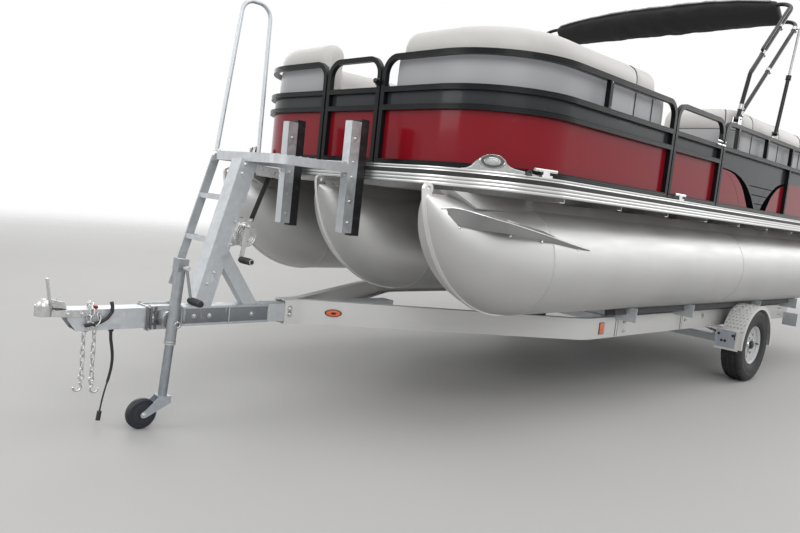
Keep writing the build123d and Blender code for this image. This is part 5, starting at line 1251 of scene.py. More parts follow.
class TOP_OT_pontoon(bpy.types.Operator):
    """Folding top: bows, braces, clamps and the boot round the canvas"""
    bl_idname = "pontoon.folding_top"
    bl_label = "Folding top"

    BOW_SIDE = 1216
    BOOT_HALF = 1.084

    def execute(self, context):
        look = context.scene.pontoon.top
        tube = gloss_paint("bow_paint", look.tube, 0.3, 0.3)
        dress(tube, "bimini_bows", "bimini_brace_tubes")
        dress(plated("brace_rod", (0.36, 0.36, 0.37), 0.32), "bimini_brace_rods")
        chrome = plated("top_fitting", (0.42, 0.42, 0.43), 0.2)
        dress(chrome, "bimini_mounts")
        self.boot(look)
        self.clamps(tube, chrome)
        return {"FINISHED"}

    def boot(self, look):
        """Zipped canvas boot: full in the middle, drawn in at its ends, with folds and a scalloped hem."""
        lean = atan2(105, 156)
        along, over = Vector((cos(lean), 0, sin(lean))), Vector((-sin(lean), 0, cos(lean)))
        rings, held = [], []
        count, sides = 84, 36
        for i in range(count + 1):
            u = -1 + 2 * i / count
            full = 1 - abs(u) ** 2.6
            depth = 0.118 + 0.042 * full
            thick = 0.040 + 0.026 * full
            centre = at(118, 0, 3127 + 44 * full)
            centre.y = u * self.BOOT_HALF
            if abs(u) > 0.985:
                depth, thick = depth * 0.9, thick * 0.8
            ring = []
            for k, t in enumerate(turns(sides)):
                c, s = cos(t), sin(t)
                fold = noise.noise(Vector((u * 9 + c * 1.3, s * 1.6, c * 1.2))) * 0.010 * full
                fold += noise.noise(Vector((u * 26 + s * 2, c * 2.5, 3.1))) * 0.004 * (0.4 + full)
                scallop = 0.005 * abs(sin(u * 21)) * (1 if c < -0.93 else 0)
                a = squared(c, 0.62) * (depth + fold - scallop)
                b = squared(s, 0.75) * (thick + fold)
                ring.append(centre + along * a + over * b)
                held.append(1.0 if i in (0, count) or k == sides // 2 or i % 12 == 0 and abs(s) < 0.5 else 0.0)
            rings.append(ring)
        mould = Mould()
        mould.loft(rings)
        made = mould.piece("top_boot", canvas(look.canvas), "bimini", slot="canvas", sharp=180)
        drape(made, held, 3.0, cap=0.014, stiff=8.0)
        rounder(made)
        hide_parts("bimini_boot")
        # zip along the forward edge, with its pale teeth
        edge = [ring[0] + along * 0.006 for ring in rings[2:-2]]
        wide, thick = over * 0.011, along * 0.003
        mould.loft([[p - wide, p + wide, p + wide + thick, p - wide + thick] for p in edge])
        mould.tube([p + along * 0.004 for p in edge[::2]], 0.0026, 8, 1)
        mould.piece("boot_zip", [canvas_tape((0.03, 0.03, 0.032)), plated("zip_teeth", (0.55, 0.55, 0.54), 0.3)],
                "bimini", slot="canvas")

    def clamps(self, tube, chrome):
        """Clamp rings on the bows with their ears and bolts, and the slider bar beside each front bow."""
        mould = Mould()
        # each fitting: place on the bow's side view, the bow's direction there, ring size
        main = Vector((40 - 1014, 3075 - 2111)).normalized()
        second = Vector((196 - 900, 3180 - 2475)).normalized()
        low = Vector((900 - 1014, 2475 - 2111)).normalized()
        for flip in (1, -1):
            for (x, z), heading, size, wide in (((716, 2660), second, 0.0205, 0.020),
                    ((452, 2924), second, 0.0205, 0.016), ((560, 2560), main, 0.0195, 0.016),
                    ((137.4, 2978.6), main, 0.0205, 0.022), ((985, 2204), low, 0.0195, 0.022),
                    ((967, 2157), main, 0.0195, 0.022)):
                centre, axis = at(x, self.BOW_SIDE * flip, z), Vector((heading.x, 0, heading.y))
                mould.turned(centre - axis * wide, axis, [(size - 0.003, 0), (size, 0.001), (size, wide * 2 - 0.001),
                                                         (size - 0.003, wide * 2)], 28)
                ear = centre + axis.cross(Vector((0, 1, 0))) * (size + 0.004)
                mould.turned(ear - Vector((0, 0.012, 0)), (0, 1, 0), [(0.009, 0), (0.009, 0.024)], 18)
                mould.bolt(ear + Vector((0, 0.012 * flip, 0)), (0, flip, 0), 0.0055, stub=0.002)
            for x, z in ((1014, 2111), (322, 2100)):
                y = (self.BOW_SIDE + (24 if x > 1000 else 62)) * flip
                mould.bolt(at(x, y, z), (0, flip, 0), 0.006, stub=0.003)
        mould.piece("bow_clamps", chrome, "bimini", slot="top_fitting")
        for flip in (1, -1):
            # slider bar beside the front bow, from its clamp up to the boot
            start, end = Vector((716, 2660)), Vector((300, 3076))
            away = Vector((second.y, -second.x)) * 34
            path = [at(start.x + away.x * k, self.BOW_SIDE * flip, start.y + away.y * k) for k in (0.9, 1.0)]
            path += [at(end.x + away.x, self.BOW_SIDE * flip, end.y + away.y)]
            mould.tube(spaced(path, 0.03), 0.0125, 16)
            mould.tube(spaced([at(884, self.BOW_SIDE * flip, 2491), at(716, self.BOW_SIDE * flip, 2660)],
                    0.03), 0.0178, 18)
        mould.piece("bow_slider", tube, "bimini", slot="top_frame")


class FITTINGS_OT_pontoon(bpy.types.Operator):
    """Docking lights, cleats, bow lamps and the screws of the edge rail"""
    bl_idname = "pontoon.fittings"
    bl_label = "Deck fittings"

    # bearing round the deck's corner, height and half depth of the docking light's housing
    HOUSING = ((27, 4, 9), (30, 9, 14), (32.4, 23, 18), (34, 42, 20), (35.7, 56, 21), (38, 74, 22), (40.4, 85, 23),
               (43.5, 88, 23), (46.6, 87, 23), (48.6, 79, 22), (50.2, 64, 22), (51.8, 45, 20), (53.6, 33, 19),
               (56, 26, 18), (61.5, 19, 15), (67, 12, 12), (71, 5, 8))

    def housing(self, mould, flip):
        """Chrome blister on the rail, drawn out aft, with its oval lens."""
        def spot(bearing, reach, height):
            t = radians(bearing)
            return at(BOW_CORNER.x + reach * cos(t), (BOW_CORNER.y + reach * sin(t)) * flip, height)

        mould.loft([[spot(bearing, 532 + deep * squared(cos(t), 0.7), 1439.4 + high * sin(t) ** 0.65)
                     for t in (pi * k / 18 for k in range(19))] for bearing, high, deep in self.HOUSING])
        t = radians(43.5)
        out, tangent = Vector((cos(t), sin(t) * flip, 0)), Vector((-sin(t), cos(t) * flip, 0))
        face = spot(43.5, 552, 1487)
        # bezel, lens, inner ring and reflector: share of the oval's size and distance outward
        for sizes, finish in ((((1.0, -0.004), (1.0, 0.007), (0.93, 0.010), (0.86, 0.008), (0.84, 0.004)), 0),
                              (((0.84, 0.0045), (0.70, 0.0050), (0.58, 0.0055)), 2),
                              (((0.64, 0.0055), (0.60, 0.0085), (0.54, 0.0090), (0.50, 0.0065)), 0),
                              (((0.52, 0.0060), (0.40, 0.0085), (0.2, 0.0098), (0.02, 0.010)), 1)):
            mould.loft([[face + out * deep + (tangent * cos(a) * 0.068 + Vector((0, 0, sin(a) * 0.034))) * size
                         for a in turns(40)] for size, deep in sizes], finish)

    def execute(self, context):
        chrome = plated("deck_chrome", (0.80, 0.80, 0.79), 0.12)
        dress(chrome, "cleats")
        lamp = [plated("lamp_chrome", (0.40, 0.41, 0.40), 0.14), lens("lamp_glass", (0.46, 0.47, 0.47)),
                moulded("lamp_reflector", (0.09, 0.095, 0.10), 0.3)]
        mould = Mould()
        for flip in (1, -1):
            self.housing(mould, flip)
        made = mould.piece("docking_housings", lamp, slot="top_fitting", sharp=50)
        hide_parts("docking_lights")
        for side, flip in SIDES:
            # bow lamp beside the cleat
            mould = Mould()
            t = radians(64)
            out = Vector((cos(t), sin(t) * flip, 0))
            foot = at(BOW_CORNER.x + 548 * cos(t), (BOW_CORNER.y + 548 * sin(t)) * flip, 1439)
            mould.turned(foot, (0, 0, 1), [(0.020, 0.0002), (0.020, 0.004), (0.016, 0.010), (0.016, 0.020),
                    (0.010, 0.026)], 24)
            mould.turned(foot + Vector((0, 0, 0.020)), out, [(0.008, 0), (0.010, 0.012), (0.006, 0.02)], 16)
            mould.piece(f"bow_lamp_{side}", moulded(f"bow_lamp_{side}_body", (0.02, 0.02, 0.02), 0.35),
                    slot="top_fitting")
        # screws along the edge rail's lip
        for flip in (1, -1):
            for k in range(19):
                mould.turned(at(3150 - 300 * k, 1283 * flip, 1439), (0, 0, 1),
                        [(0.0042, -0.0005), (0.0040, 0.0008), (0.002, 0.0018)], 12)
        mould.piece("rail_screws", chrome, slot="rail_aluminium")
        return {"FINISHED"}


class MOTOR_OT_pontoon(bpy.types.Operator):
    """Outboard motor: cowl band, vents, clamp bolts, anode and hub"""
    bl_idname = "pontoon.motor"
    bl_label = "Motor"

    def execute(self, context):
        look = context.scene.pontoon.motor
        dress(gloss_paint("motor_paint", look.cowl, 0.2, 0.5), "motor_bracket", "motor_swivel", "motor_leg",
              "motor_cowl")
        metal = plated("propeller_metal", look.propeller, 0.2)
        dress(metal, "propeller")
        trim = moulded("motor_trim", (0.05, 0.052, 0.055), 0.4)
        silver = plated("motor_silver", (0.55, 0.56, 0.57), 0.3)
        mould = Mould()
        # seam band round the foot of the cowl and a pale stripe higher up
        for height, front, tail, half, thick, finish in ((1398, -2968, -3618, 208, 0.010, 0),
                (1760, -2977, -3632, 215, 0.006, 1), (1782, -2979, -3631, 214, 0.003, 1)):
            rings = []
            for t in turns(64):
                x, y = (front + tail) / 2 + (front - tail) / 2 * cos(t), half * sin(t)
                normal = Vector((cos(t) / (front - tail) * 2, sin(t) / half, 0)).normalized()
                inner, outer = at(x, y, height) - normal * 0.004, at(x, y, height) + normal * 0.0015
                rings.append([inner, inner + Vector((0, 0, thick)), outer + Vector((0, 0, thick)), outer])
            mould.loft(rings, finish, wrap=True)
        mould.piece("cowl_bands", [trim, silver], "motor", slot="motor_paint", sharp=50)
        for flip in (1, -1):
            for k in range(6):
                x, z = -3480 + 6 * k, 1810 + 14 * k
                mould.prism([at(x, flip * 170, z), at(-3380, flip * 196, z), at(-3380, flip * 196, z + 6),
                             at(x, flip * 170, z + 6)], (0, 0.008 * flip, 0))
        mould.piece("cowl_vents", trim, "motor", slot="motor_paint", bevel=0.001)
        mould.bolts([at(-3044, y, z) for y in (-110, 110) for z in (930, 1010, 1110)], (-1, 0, 0), 0.009)
        mould.piece("transom_bolts", silver, slot="galvanised")
        mould.turned(at(-3410, 0, 560), (-1, 0, 0), [(0.046, 0), (0.040, 0.006), (0.016, 0.010), (0.016, 0.024),
                (0.011, 0.028)], 28)
        mould.turned(at(-3320, 0, 560), (1, 0, 0), [(0.048, -0.002), (0.050, 0.004), (0.046, 0.010)], 36)
        mould.piece("propeller_nut", metal, "prop", slot="propeller_steel")
        mould.prism([at(-3255, -6, 700), at(-3375, -6, 700), at(-3395, -6, 640), at(-3330, -6, 640)], (0, 0.012, 0))
        mould.piece("leg_anode", plated("anode_zinc", (0.5, 0.5, 0.49), 0.5), "motor",
                slot="propeller_steel", bevel=0.002)
        return {"FINISHED"}


class TRAILER_OT_pontoon(bpy.types.Operator):
    """Trailer frame, axle, bunks, fenders, marker lamps and their bolts"""
    bl_idname = "pontoon.trailer"
    bl_label = "Trailer frame"

    FENDER_RADIUS = 347

    def execute(self, context):
        look = context.scene.pontoon.trailer
        white = frame_paint(look.rails)
        dress(galvanised("galvanised", look.zinc_coat), "tongue", "cross_members", "axle", "trailer_lamps")
        dress(white, "frame_rails", "fenders")
        dress(carpet(look.carpet), "bunks")
        zinc = plated("zinc", look.bright)
        dress(zinc, "coupler")
        black = moulded("marker_black", (0.012, 0.012, 0.012), 0.4)
        self.joints(zinc, white)
        self.markers(black, lens("amber_lens", look.amber), lens("red_lens", look.red_lens))
        self.fender_top(zinc, black)
        self.coupler_parts(zinc)
        self.tongue_web()
        return {"FINISHED"}

    def tongue_web(self):
        """Channel behind the jack: web painted darker than its two flanges as shade in the channel's recess, and the
        jack's U-bolt saddles.
        """
        # the web's darker zinc is painted shade in the recess between the flanges
        web = galvanised("web_zinc_painted_shade", (0.22, 0.235, 0.25), 50)
        flange = galvanised("flange_zinc", (0.52, 0.54, 0.56), 50)
        dark = plated("saddle_zinc", (0.20, 0.205, 0.21), 0.45)
        mould = Mould()
        for flip in (1, -1):
            for x0, x1 in ((4234, 4478), (4488, 4756)):
                mould.box(at(x0, 51.2 * flip, 491), at(x1, 52.4 * flip, 567))
            for x0, x1, z0, z1 in ((4232, 4758, 478, 489), (4232, 4758, 569, 580), (4479, 4487, 489, 569)):
                mould.box(at(x0, 51.2 * flip, z0), at(x1, 56 * flip, z1), 1)
        for x in (4774, 4800, 4905, 4930, 4948):
            mould.box(at(x - 5, 57.2, 472), at(x + 5, 68, 586), 2)
        for z in (552, 492):
            mould.box(at(4768, 57.2, z), at(4952, 62, z + 14), 2)
        mould.piece("tongue_web", [web, flange, dark], slot="galvanised", bevel=0.0012)

    def joints(self, zinc, white):
        """Splice plates of the rails, the tongue's clamps and the bolts of the cross members."""
        mould = Mould()
        for flip in (1, -1):
            # flat bars over the rails' splices, each with thin dark strips beside it that are painted shade of the
            # gap behind it, and its bolts beside it
            for x in (1977, 954):
                for x0, x1, high, finish in ((x - 9, x + 9, 3.5, 1), (x - 21, x - 9, 0.6, 2),
                        (x + 9, x + 14, 0.6, 2)):
                    low = at(x0, (RAIL_FACE + 0.2) * flip, RAIL_FOOT)
                    mould.box(low, at(x1, (RAIL_FACE + 0.2 + high) * flip, RAIL_TOP), finish)
            outward = (0, flip, 0)
            splice = ((1872, 560), (1872, 498), (886, 535), (560, 565), (560, 545))
            mould.bolts([at(x, RAIL_FACE * flip, z) for x, z in splice], outward, 0.0105)
            mould.bolts([at(x + side, RAIL_FACE * flip, z) for x in CROSS_MEMBERS for side in (-22, 22)
                         for z in (500, 560)], outward, 0.0068)
            # front corner plates with two bolts each
            mould.bolts([at(4087, 58 * flip, z) for z in (551, 519)], outward, 0.0125, stub=0.008)
            # hanger bolts of the springs
            mould.bolts([at(x, RAIL_FACE * flip, 470) for x in (-346, 346)], outward, 0.008)
            # bunk brackets: two bolts at each cross member
            mould.bolts([at(x + side, 930 * flip, 601) for x in (1100, *CROSS_MEMBERS) for side in (-16, 16)],
                        (0, 0, 1), 0.006)
        # bolts of the winch stand through the tongue, and the plate behind the jack's channel
        for x in (4690, 4600, 4340):
            for flip in (1, -1):
                mould.bolt(at(x, 51 * flip, 529), (0, flip, 0), 0.0085)
        mould.box(at(4218, -51.9, 477.4), at(4230, 51.9, 580.8))
        # the last finish, near black, is painted shade beside the splice bars
        mould.piece("frame_bolts", [zinc, white, moulded("gap_painted_shade", (0.03, 0.03, 0.03), 0.6)], slot="zinc")
        # jack clamp: backing plate, four long bolts above and below the tongue
        mould.box(at(4766, -57, 470), at(4954, -51.3, 588))
        for x in (4780, 4940):
            for z in (473.6, 584.4):
                mould.turned(at(x, -66, z), (0, 1, 0), [(0.0040, 0), (0.0040, 0.140)], 14)
                mould.bolt(at(x, 57, z), (0, 1, 0), 0.0075)
                mould.bolt(at(x, -57, z), (0, -1, 0), 0.0075)
        mould.bolts([at(x, 57, 529) for x in (4805, 4915)], (0, 1, 0), 0.0075)
        mould.piece("jack_clamp", zinc, slot="zinc")

    def markers(self, black, amber, red):
        """Side reflectors, the oval marker lamps and the tail lamps."""
        mould = Mould()
        for flip in (1, -1):
            # oval marker lamp on the slanted part of the rail, between the tongue and the bend
            start, bend = Vector((3988, 58 * flip)), Vector((2370, RAIL_FACE * flip))
            run = (bend - start).normalized()
            side, normal = Vector((run.x, run.y, 0)), Vector((run.y, -run.x, 0)) * flip
            centre = at(*(start + run * 180), 532)
            for size, deep, finish in ((1.0, 0.006, 0), (0.86, 0.012, 1), (0.34, 0.0135, 0)):
                steps = ((0, 1), (deep * 0.7, 1), (deep, 0.9))
                oval = [(side * 0.052 * cos(a) + Vector((0, 0, 0.023 * sin(a)))) * size for a in turns(36)]
                mould.loft([[centre + normal * depth + p * grow for p in oval] for depth, grow in steps], finish)
            # amber reflector between the rail's bend and its first splice
            for half, tall, deep, finish in ((33, 41, 0.003, 0), (30, 38, 0.006, 1)):
                y = (RAIL_FACE + 0.2) * flip
                corners = ((-half, -tall), (half, -tall), (half, tall), (-half, tall))
                mould.prism([at(2174 + a, y, 528 + b) for a, b in corners], (0, deep * flip, 0), finish)
        mould.piece("side_markers", [black, amber], slot="lead_sheath", bevel=0.0008)
        for flip in (1, -1):
            mould.box(at(-1482, 1000 * flip, 424), at(-1454.3, 1106 * flip, 506))
            mould.box(at(-1488, 1006 * flip, 430), at(-1482, 1100 * flip, 500), 1)
            # the side lens stands out to port only; to starboard it is flat
            mould.box(at(-1470, 1106 if flip > 0 else -1111, 440), at(-1460, 1111 * flip, 490), 1)
        mould.piece("tail_lamps", [black, red], slot="lead_sheath", bevel=0.002)

    def fender_top(self, zinc, black):
        """Raised tread on the fender's top, its front plate's bolts and the hook on it."""
        def spot(bearing, y):
            """Place on the fender by its bearing from the wheel's middle."""
            a = radians(bearing)
            return at(self.FENDER_RADIUS * cos(a), y, TYRE_RADIUS + self.FENDER_RADIUS * sin(a))

        degree = self.FENDER_RADIUS / 57.3
        mould = Mould()
        for flip in (1, -1):
            for row in range(25):
                turn = 22 + row * 5.6
                rise = Vector((cos(radians(turn)), 0, sin(radians(turn)))) * 0.0022
                for column in range(6):
                    y = 1088 + 30 * column + (15 if row % 2 else 0)
                    if y > 1240:
                        continue
                    lean = 1 if (row + column) % 2 else -1
                    low = [spot(turn + (dv + lean * du * 0.55) / degree, (y + du * 0.8) * flip)
                           for du, dv in ((-13, -3), (0, -5.5), (13, 3), (0, 5.5))]
                    mould.loft([low, [p.lerp(spot(turn, y * flip), 0.4) + rise for p in low]])
            # zinc plate over the fender's front face, with four bolts
            mould.box(at(450, 1078 * flip, 318), at(453, 1238 * flip, 462), 2)
            mould.bolts([at(453, y * flip, z) for y, z in ((1100, 425), (1128, 372), (1156, 372), (1215, 425))],
                        (1, 0, 0), 0.008, 3)
            mould.bolts([at(x, 1150 * flip, 466) for x in (395, 425)], (0, 0, 1), 0.006, 1)
        mould.piece("fender_tread", [plated("tread_metal", (0.30, 0.30, 0.31), 0.35), zinc,
                                     galvanised("plate_zinc", (0.42, 0.45, 0.50), 50),
                                     moulded("bolt_black", (0.02, 0.02, 0.02), 0.5)], slot="frame_paint")
        for flip in (1, -1):
            path = ((452, 448), (460, 446), (468, 430), (468, 412), (460, 398), (452, 396))
            mould.tube(spaced([at(x, 1235 * flip, z) for x, z in path], 0.008), 0.004, 10)
        mould.piece("fender_hook", black, slot="lead_sheath")

    def coupler_parts(self, zinc):
        """Bolts through the coupler's sides, its latch clip and tag, and the loop of black sleeve."""
        mould = Mould()
        for flip in (1, -1):
            mould.bolts([at(x, 57 * flip, 562) for x in (5261, 5325)], (0, flip, 0), 0.0085, stub=0.005)
        clip = ((5378, 22, 610), (5378, 30, 612), (5372, 33, 628), (5360, 30, 640), (5352, 22, 641))
        mould.tube(spaced([at(*p) for p in clip], 0.006), 0.0022, 8)
        mould.piece("coupler_bolts", zinc, slot="zinc")
        loop = ((5133, 66, 618), (5128, 70, 600), (5128, 70, 570), (5148, 70, 540), (5183, 70, 520), (5222, 68, 512),
                (5251, 66, 506))
        mould.tube(spaced([at(*p) for p in loop], 0.012), 0.0085, 12)
        mould.piece("sleeve_loop", rubber("loop_sleeve", (0.014, 0.014, 0.015), 0.5), slot="lead_sheath")
        mould.turned(at(5186, 34, 588), (1, 0.5, 0.1), [(0.006, 0), (0.008, 0.003), (0.008, 0.026),
                (0.005, 0.030)], 16)
        mould.piece("latch_tag", gloss_paint("latch_red", (0.42, 0.01, 0.012), 0.35), slot="zinc")


class WHEELS_OT_pontoon(bpy.types.Operator):
    """Treaded tyres, wheel nuts, centre caps and valves"""
    bl_idname = "pontoon.wheels"
    bl_label = "Wheels"

    # radius, sideways share of half the width, depth of the tread's grooves there
    SIDE = ((164, 0.66, 0), (168, 0.74, 0), (176, 0.79, 0), (178, 0.84, 0), (184, 0.84, 0), (190, 0.90, 0),
            (214, 0.965, 0), (240, 0.995, 0), (262, 0.99, 0), (264, 1.0, 0), (272, 0.995, 0), (276, 0.975, 0),
            (290, 0.955, 3), (302, 0.91, 3), (311, 0.84, 5.5), (315, 0.76, 5.5), (316.5, 0.62, 5.5),
            (316.8, 0.55, 5.5), (309, 0.52, 0), (309, 0.42, 0), (317.2, 0.39, 5.5), (317.6, 0.12, 5.5),
            (309.5, 0.09, 0))

    def execute(self, context):
        look = context.scene.pontoon.trailer
        tyre = rubber("tyre_rubber", look.rubber)
        dress(tyre, "tyre_port", "tyre_starboard")
        silver = gloss_paint("wheel_silver", look.wheel, 0.3)
        dress(silver, "rim_port", "rim_starboard")
        nut = plated("wheel_nut", (0.66, 0.66, 0.65), 0.2)
        cap = moulded("hub_cap", (0.014, 0.014, 0.015), 0.35)
        for side, flip in SIDES:
            middle = TYRE_MIDDLE * flip
            profile = [(radius, -s, groove) for radius, s, groove in self.SIDE] + list(reversed(self.SIDE))
            rings = []
            for k, a in enumerate(turns(180)):
                ring = []
                for radius, s, groove in profile:
                    if (k + (2 if s > 0 else 0) + (1 if abs(s) > 0.5 else 0)) % 5 == 0:
                        radius -= groove
                    ring.append(at(radius * cos(a), middle + 88 * s, TYRE_RADIUS + radius * sin(a)))
                rings.append(ring)
            mould = Mould()
            mould.loft(rings, wrap=True)
            made = mould.piece(f"treaded_tyre_{side}", tyre, f"wheel_{side}", slot="tyre", sharp=40)
            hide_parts(f"tyre_{side}")
            out = Vector((0, flip, 0))
            for a in turns(5):
                foot = at(57 * cos(a), middle + 34 * flip, TYRE_RADIUS - 57 * sin(a))
                mould.turned(foot, out, [(0.0125, 0), (0.0115, 0.004), (0.0105, 0.016)], 6)
                mould.turned(foot + out * 0.016, out, [(0.0105, 0), (0.009, 0.005), (0.004, 0.008)], 18)
            # valve, hub cap and its ring
            mould.turned(at(-140, middle + 44 * flip, TYRE_RADIUS), (0.35, flip, 0),
                    [(0.0045, -0.014), (0.0045, 0.014), (0.0055, 0.015), (0.0055, 0.026), (0.003, 0.028)], 14, 1)
            mould.turned(at(0, middle + 44 * flip, TYRE_RADIUS), out,
                    [(0.034, 0), (0.034, 0.010), (0.030, 0.022), (0.016, 0.028), (0.004, 0.029)], 32, 1)
            mould.turned(at(0, middle + 33 * flip, TYRE_RADIUS), out,
                    [(0.040, 0), (0.038, 0.006), (0.0345, 0.011)], 32)
            mould.piece(f"wheel_nuts_{side}", [nut, cap], f"wheel_{side}", slot="wheel_silver")
        return {"FINISHED"}


class JACK_OT_pontoon(bpy.types.Operator):
    """Tongue jack with its gears, crank, grip and wheel"""
    bl_idname = "pontoon.jack"
    bl_label = "Tongue jack"

    def execute(self, context):
        look = context.scene.pontoon.trailer
        dress(galvanised("jack_zinc", (0.34, 0.355, 0.37), 60), "jack_sleeve")
        dress(galvanised("fork_zinc", (0.42, 0.45, 0.49), 60), "jack_fork")
        dress(plated("jack_tube", (0.30, 0.32, 0.35), 0.42), "jack_leg")
        dress(moulded("jack_roller", (0.012, 0.014, 0.022), 0.45), "jack_wheel")
        black = moulded("grip_black", (0.014, 0.014, 0.015), 0.45)
        zinc = plated("jack_bright", look.bright, 0.3)
        top, foot = at(4838, JACK_SIDE, 845), at(4886, JACK_SIDE, 157)
        axis = (foot - top).normalized()
        mould = Mould()
        # two bevel gears inside the open gear case
        for centre, heading, size in ((top + axis * 0.040, Vector((0, 1, 0)), 0.017),
                (top + axis * 0.022, axis, 0.018)):
            across = heading.orthogonal().normalized()
            side = heading.cross(across)
            mould.loft([[centre + heading * along + (across * cos(t) + side * sin(t)) * size * taper
                         * (1.0 if k % 2 else 0.84) for k, t in enumerate(turns(28))]
                        for along, taper in ((-0.006, 1.0), (0.006, 0.72))])
        elbow = top + axis * 0.0414 + Vector((0, 0.066, 0))
        mould.turned(elbow, (0, 1, 0), [(0.013, -0.014), (0.013, 0.012), (0.010, 0.016)], 20)
        # rings round the sleeve's foot, and the swing pivot with its pull ring
        for share_down in (0.605, 0.622):
            mould.turned(top.lerp(foot, share_down), axis, [(0.0272, -0.004), (0.0292, -0.003), (0.0292, 0.003),
                    (0.0272, 0.004)], 32)
        pivot = top.lerp(foot, (845 - 529) / (845 - 157))
        mould.turned(pivot - Vector((0, 0.028, 0)), (0, -1, 0), [(0.044, 0.004), (0.044, 0.012), (0.041, 0.014)], 36)
        pin = pivot + Vector((0, 0.052, 0.006))
        mould.tube([pivot + Vector((0, 0.026, 0)), pin], 0.005, 12)
        mould.tube([pin + Vector((0.014 * cos(t), 0, 0.014 * sin(t) - 0.014)) for t in turns(20)],
                0.0022, 8, wrap=True)
        mould.piece("jack_gears", zinc, "jack", slot="zinc", sharp=30)
        end = elbow + Vector((-0.035, 0, -0.160))
        grip(mould, end, [(0.0155, -0.012), (0.0170, -0.006), (0.0160, 0.010), (0.0175, 0.040), (0.0165, 0.074),
                          (0.0178, 0.094), (0.0150, 0.104), (0.006, 0.107)],
             7, 0.016, [(0.0165, -0.0015), (0.0186, 0), (0.0165, 0.0015)])
        mould.piece("jack_grip", black, "jack", slot="lead_sheath")
        hub = at(4990, JACK_SIDE, 76)
        for flip in (1, -1):
            mould.turned(hub + Vector((0, 0.021 * flip, 0)), (0, flip, 0),
                    [(0.048, -0.001), (0.046, 0.0015), (0.020, 0.0015), (0.018, 0.005)], 36)
            for t in turns(6):
                rivet = hub + Vector((0.034 * cos(t), 0.0225 * flip, 0.034 * sin(t)))
                mould.turned(rivet, (0, flip, 0), [(0.007, 0), (0.006, 0.0018)], 14)
        mould.piece("jack_wheel_hub", moulded("hub_plate", (0.02, 0.022, 0.032), 0.4), "jack_roller",
                slot="wheel_silver")
        for flip in (1, -1):
            mould.bolt(hub + Vector((0, 0.0315 * flip, 0)), (0, flip, 0), 0.011)
        mould.piece("jack_axle_nuts", zinc, "caster", slot="zinc")
        return {"FINISHED"}


